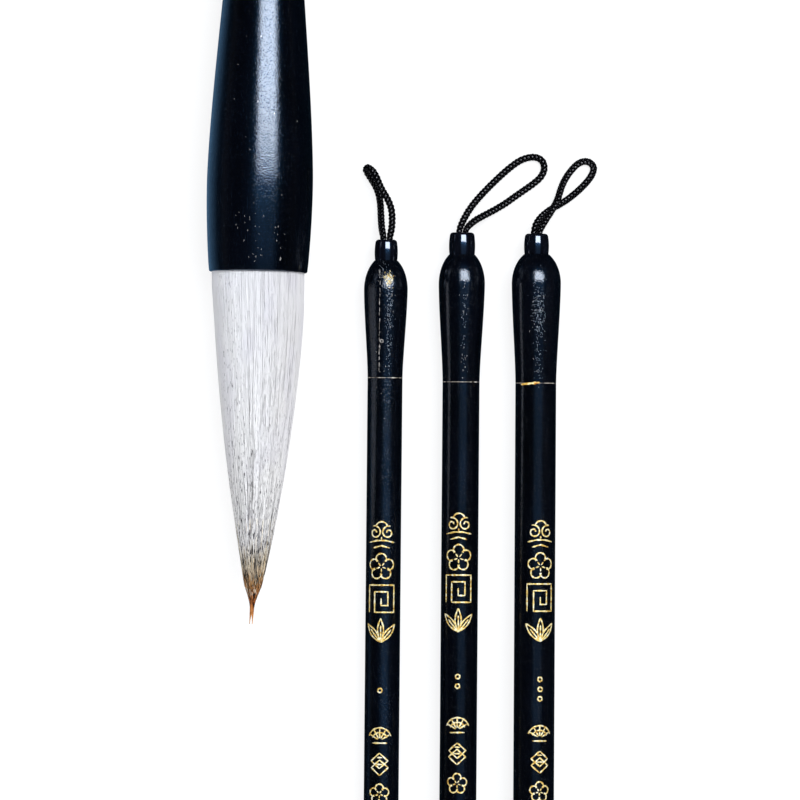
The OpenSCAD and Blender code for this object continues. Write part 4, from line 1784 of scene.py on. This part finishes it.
@dataclass
class Studio:
    """A white table seen from straight above, under a high softbox and a dim window."""

    middle: tuple[float, float] = (0.0, 0.0)
    view_width: float = 190.5 * MM
    focus_height: float = 6.0 * MM
    distance: float = 2.0
    sensor: float = 36.0
    lamp_height: float = 1.5
    table_half: float = 3.0
    table_drop: float = 0.05 * MM

    def camera(self) -> None:
        """Puts the camera above the middle of the photograph, with the handles' tops at the image's top."""
        lens = bpy.data.cameras.new("camera")
        lens.sensor_width = self.sensor
        lens.lens = self.sensor * self.distance / self.view_width
        lens.clip_end = 20.0
        made = bpy.data.objects.new("camera", lens)
        made.location = (self.middle[0], self.middle[1], self.focus_height + self.distance)
        bpy.context.scene.collection.objects.link(made)
        bpy.context.scene.camera = made

    def softbox(
        self,
        name: str,
        across_deg: tuple[float, float],
        ahead_deg: tuple[float, float],
        radiance: float,
        code: str,
    ) -> None:
        """Hangs a softbox over the table.

        Args:
            name: The lamp's name.
            across_deg: Its left and right edges, in degrees off the vertical.
            ahead_deg: Its near and far edges, in degrees off the vertical towards the handles' tops.
            radiance: How bright its face is, where 1 is white.
            code: Its colour.
        """
        height = self.lamp_height
        left, right = (height * math.tan(math.radians(d)) for d in across_deg)
        near, far = (height * math.tan(math.radians(d)) for d in ahead_deg)
        light = bpy.data.lights.new(name, "AREA")
        light.shape = "RECTANGLE"
        light.size, light.size_y = right - left, far - near
        # The renderer spreads an area lamp's power so that its face is a quarter of it by its area.
        light.energy = 4 * radiance * light.size * light.size_y
        light.color = linear(code)[:3]
        made = bpy.data.objects.new(name, light)
        made.location = (self.middle[0] + (left + right) / 2, self.middle[1] + (near + far) / 2, height)
        made.visible_camera = False
        bpy.context.scene.collection.objects.link(made)

    def world(self) -> None:
        """Makes the room: white to the camera, with a bright wall beyond the tufts and a pale horizon."""
        world = bpy.data.worlds.new("room")
        bpy.context.scene.world = world
        world.use_nodes = True
        tree = world.node_tree
        tree.nodes.clear()
        where = add_node(tree, "ShaderNodeTexCoord").outputs["Generated"]
        parts = add_node(tree, "ShaderNodeSeparateXYZ", {0: where}).outputs
        wall = Formula(tree, parts["Y"]).between(-0.75, -0.4, 1.4, 0.0)
        horizon = Formula(tree, parts["X"]).between(-0.6, 0.4, 0.04, 0.02)
        level = wall.op("MAXIMUM", Formula(tree, parts["Z"]).between(0.0, 0.45, 1.0, 0.12) * horizon)
        path = add_node(tree, "ShaderNodeLightPath").outputs
        # Matt surfaces get the even light of a white tent, which gloss doesn't show.
        level = level + Formula(tree, path["Is Diffuse Ray"]) * 0.55
        seen = path["Is Camera Ray"]
        room = add_node(tree, "ShaderNodeBackground", {"Color": linear("FBFCFF"), "Strength": level})
        white = add_node(tree, "ShaderNodeBackground", {"Color": linear("FFFFFF"), "Strength": 1.0})
        mixed = add_node(tree, "ShaderNodeMixShader", {0: seen, 1: room.outputs[0], 2: white.outputs[0]})
        add_node(tree, "ShaderNodeOutputWorld", {"Surface": mixed.outputs[0]})

    def floor(self) -> None:
        """Lays the table: white to the camera and dark in reflections, with a soft shadow."""
        half = self.table_half
        corners = [(-half, -half, 0), (half, -half, 0), (half, half, 0), (-half, half, 0)]
        mesh = mesh_of("table_top", corners, (), [(0, 1, 2, 3)])
        made = plain_object("table_top", mesh)
        made.location.z = -self.table_drop
        paper = bpy.data.materials.new("white_table")
        paper.use_nodes = True
        tree = paper.node_tree
        tree.nodes.clear()
        path = add_node(tree, "ShaderNodeLightPath").outputs
        camera = Formula(tree, path["Is Camera Ray"])
        glossy, sent = (Formula(tree, path[kind]) for kind in ("Is Glossy Ray", "Is Transmission Ray"))
        mirrored = glossy.op("MAXIMUM", sent)
        matt = add_node(tree, "ShaderNodeBsdfDiffuse", {"Color": linear("FAFAFA")})
        # A polished handle shows the table dark. A strip on the table's left glows blue in reflections alone:
        # a painted reflection that gives the giant ferrule its pale left rim.
        place = add_node(tree, "ShaderNodeNewGeometry").outputs["Position"]
        across = Formula(tree, add_node(tree, "ShaderNodeSeparateXYZ", {0: place}).outputs["X"])
        blue = across.between(-0.12, -0.045, 0.05, 0.6) * across.between(-0.05, -0.035, 1.0, 0.03) + 0.005
        colour = Finish.blend(tree, camera, "6C9CC8", "FFFFFF")
        inputs: Inputs = {"Color": colour, "Strength": camera * 1.03 + mirrored * blue}
        glow = add_node(tree, "ShaderNodeEmission", inputs)
        share = (camera * 0.75).op("MAXIMUM", mirrored)
        mixed = add_node(tree, "ShaderNodeMixShader", {0: share, 1: matt.outputs[0], 2: glow.outputs[0]})
        add_node(tree, "ShaderNodeOutputMaterial", {"Surface": mixed.outputs[0]})
        mesh.materials.append(paper)

    def build(self) -> None:
        """Makes the whole studio."""
        bpy.context.scene.view_settings.view_transform = "Standard"
        self.camera()
        self.world()
        self.floor()
        self.softbox("high_softbox", (-7.0, 36.0), (9.8, 32.0), 8.5, "F4F9FF")
        self.softbox("dim_window", (-7.0, 36.0), (-30.0, 9.8), 0.12, "93CAFF")


# The set


# Each cord's route from its exit in millimetres, out of the collar, round and back.
SMALL_ROUTE = [
    (0.72, -0.5, 0), (0.9, 0.9, 0), (1.25, 2.6, 0.1), (1.4, 4.6, 0.2), (1.3, 6.6, 0.3), (0.85, 8.4, 0.4),
    (0.1, 10, 0.5), (-0.85, 11.6, 0.5), (-1.6, 13.1, 0.5), (-2.25, 14.7, 0.3), (-3.1, 16.2, -0.3),
    (-4, 17, -1.3), (-4.5, 17.2, -2.3), (-4.8, 16.8, -3.4), (-4.4, 15.9, -4.2), (-3.6, 14.6, -4.4),
    (-2.75, 13.2, -4.4), (-2.1, 11.8, -4.4), (-1.65, 10.2, -4.2), (-1.4, 8.4, -3.6), (-1.3, 6.4, -2.6),
    (-1.2, 4.5, -1.6), (-1.05, 2.6, -0.6), (-0.75, 0.9, -0.1), (-0.72, -0.5, 0),
]
MEDIUM_ROUTE = [
    (-0.72, -0.5, 0), (-0.6, 0.8, 0), (0.05, 2.4, -0.5), (1.05, 4.3, -1.4), (2.4, 6.4, -2.5),
    (4.4, 8.8, -3.6), (6.8, 11.3, -4.4), (9.2, 13.6, -4.7), (11.5, 15.6, -4.7), (13.8, 17.2, -4.7),
    (16.1, 18, -4.7), (18, 17.9, -4.7), (19.3, 16.9, -4.7), (19.6, 15.1, -4.7), (18.75, 13.3, -4.7),
    (17.1, 11.8, -4.7), (15, 10.3, -4.7), (12.7, 8.7, -4.7), (10.3, 7, -4.5), (7.8, 5.5, -3.9),
    (5.4, 4.2, -2.8), (3.3, 3, -1.5), (1.6, 1.6, -0.4), (0.9, 0.6, 0), (0.72, -0.5, 0),
]
LARGE_ROUTE = [
    (-0.72, -0.5, 0), (-0.55, 0.8, 0), (-0.05, 2.3, -0.5), (0.95, 3.8, -1.5), (2.35, 5.1, -2.7),
    (3.9, 6.15, -3.5), (5.6, 7.1, -4.1), (7.2, 8.1, -4.7), (8.9, 9.4, -5), (10.6, 10.9, -5),
    (12.2, 12.6, -5), (13.3, 14.2, -5), (13.7, 15.8, -5), (12.9, 17, -5), (11.4, 17.35, -5),
    (9.85, 16.7, -5), (8.55, 15.4, -5), (7.4, 13.9, -4.9), (6.45, 12.2, -4.3), (5.75, 10.4, -3.3),
    (5.1, 8.4, -2.3), (4.3, 6.7, -1.8), (3.3, 5, -1.2), (2.2, 3.3, -0.6), (1.2, 1.6, -0.1),
    (0.78, 0.6, 0), (0.72, -0.5, 0),
]
UPPER_MOTIFS = (Motif.CLOUD, Motif.BLOSSOM, Motif.FRET, Motif.LEAVES)
LOWER_MOTIFS = (Motif.SHELL, Motif.TWIN_LOZENGE, Motif.BLOSSOM, Motif.LEAVES)


@dataclass(frozen=True)
class Spacing:
    """How far below the upper seam a handle's ornaments lie, and their sizes, in millimetres."""

    upper: float
    dots: float
    lower: float
    dot_count: int
    upper_step: float = 7.5
    lower_step: float = 7.1
    upper_size: float = 6.8
    lower_size: float = 5.2
    dot_step: float = 2.3
    dot_size: float = 4.6

    def marks(self, seam: float) -> list[Mark]:
        """Lays the ornaments out.

        Args:
            seam: The upper seam's place, from the mouth.

        Returns:
            Each ornament's place from the mouth, its motif and its size.
        """
        made = [
            (seam - self.upper - k * self.upper_step, motif, self.upper_size)
            for k, motif in enumerate(UPPER_MOTIFS)
        ]
        for k in range(self.dot_count):
            shift = (k - (self.dot_count - 1) / 2) * self.dot_step
            made.append((seam - self.dots - shift, Motif.DOT, self.dot_size))
        return made + [
            (seam - self.lower - k * self.lower_step, motif, self.lower_size)
            for k, motif in enumerate(LOWER_MOTIFS)
        ]


def brush_set() -> list[Brush]:
    """Gives every brush its sizes.

    Returns:
        The brushes.
    """
    small = Turning(
        shaft_d=8.3, shaft_len=165, ferrule_d=11.4, ferrule_len=31, tuft_d=9.2, finial_d=10.4,
        finial_len=27.9, collar_d=5.3, collar_len=5, tenon_d=5.4, cup_depth=14,
    )
    medium = Turning(
        shaft_d=8.8, shaft_len=165, ferrule_d=12.4, ferrule_len=34, tuft_d=10.1, finial_d=11,
        finial_len=30.3, collar_d=6, collar_len=5.3, tenon_d=5.8, cup_depth=15,
    )
    large = Turning(
        shaft_d=9.7, shaft_len=165, ferrule_d=13.8, ferrule_len=37, tuft_d=11.4, finial_d=11.7,
        finial_len=30.7, collar_d=5.7, collar_len=4.9, tenon_d=6.2, cup_depth=17,
    )
    giant = Turning(
        shaft_d=15.4, shaft_len=95, ferrule_d=25.2, ferrule_len=96, tuft_d=21.8, finial_d=19,
        finial_len=40, collar_d=9.6, collar_len=7, tenon_d=9.5, cup_depth=26, bore_d=4.4, sides=224,
    )
    return [
        Brush(
            BrushName.SMALL,
            small,
            Tuft(
                mouth_radius=4.6, length=38, white_count=1000, brown_count=160, hair_radius=0.07, locks=11,
                seed=11,
            ),
            turned_deg=-6.8,
            marks=Spacing(upper=37.5, dots=74.4, lower=84.8, dot_count=1).marks(small.seam),
            spots=((-1.4, 200, 0.6, 5, 14), (0.8, 213, 0.6, 4, 22), (-0.9, 220, 0.5, 1.5, 9)),
            painted_glint_spots=((0.9, 213, 0.5, 4, 130), (0.8, 203, 0.45, 4, 50), (-0.6, 221, 0.8, 1.2, 25)),
            hairline=(-1.45, 197.5, 221.5),
            gloss=Gloss.RUBBED,
            # Gold powder on the finial's highlight, partly a painted highlight.
            powder=((0.7, 219.3, 0.5, 0.9, 130),),
            route_mm=SMALL_ROUTE,
        ),
        Brush(
            BrushName.MEDIUM,
            medium,
            Tuft(
                mouth_radius=5.05, length=43, white_count=1100, brown_count=180, hair_radius=0.07, locks=12,
                seed=12,
            ),
            turned_deg=-3.8,
            marks=Spacing(upper=34.5, dots=71.2, lower=81.3, dot_count=2, upper_step=7.35).marks(medium.seam),
            spots=((0.5, 203, 0.35, 2.5, 16), (0.6, 218, 0.5, 4, 10)),
            painted_glint_spots=((0.5, 214, 0.4, 5, 45),),
            route_mm=MEDIUM_ROUTE,
        ),
        Brush(
            BrushName.LARGE,
            large,
            Tuft(
                mouth_radius=5.7, length=49, white_count=1250, brown_count=200, hair_radius=0.075, locks=12,
                seed=13,
            ),
            turned_deg=15.7,
            marks=Spacing(upper=36, dots=72.7, lower=82.9, dot_count=3).marks(large.seam),
            spots=((0.2, 206, 0.6, 2.5, 7), (0.5, 219, 1.1, 4, 22)),
            painted_glint_spots=((0.5, 220, 0.75, 3.2, 170), (0.6, 210, 0.5, 4, 60)),
            smear_deg=(-47.0, 10.0),
            route_mm=LARGE_ROUTE,
        ),
        Brush(
            BrushName.GIANT,
            giant,
            Tuft(
                mouth_radius=10.9, length=83.5, white_count=2700, brown_count=420, hair_radius=0.095,
                locks=17, seed=14, bow=0.57,
            ),
            turned_deg=0.0,
            marks=Spacing(
                upper=14.5, dots=49.5, lower=60, dot_count=4,
                upper_step=9.0, lower_step=8.6, upper_size=8.2, lower_size=6.4,
            ).marks(giant.seam),
            spots=(
                (-4.5, 10, 2, 2, 8), (-1.0, 12, 1.5, 4, 12), (4.5, 9, 1.5, 2, 7), (0.0, 3, 1.5, 1, 7),
                (5.6, 2.8, 0.1, 0.2, 6), (-3.0, 40, 3, 14, 8), (6.0, 30, 2, 10, 5),
            ),
            line_width=0.44,
            gloss=Gloss.FERRULE,
        ),
    ]


def main() -> None:
    """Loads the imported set, dresses it and builds the studio."""
    logging.basicConfig(level=logging.INFO, format="%(name)s: %(message)s")
    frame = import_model()
    mouth = next(Vector(j["pos_m"]) for j in frame["joints"] if j["name"] == "giant_tuft_bend")
    Studio((mouth.x - GIANT_MOUTH_MM[0] * MM, mouth.y - GIANT_MOUTH_MM[1] * MM)).build()
    finishes = Finishes()
    for name, item in frame["nodes"].items():
        item.data.materials.clear()
        item.data.materials.append(finishes.of_part(name))
    for brush in brush_set():
        brush.dress(frame, finishes)


if __name__ == "__main__":
    main()
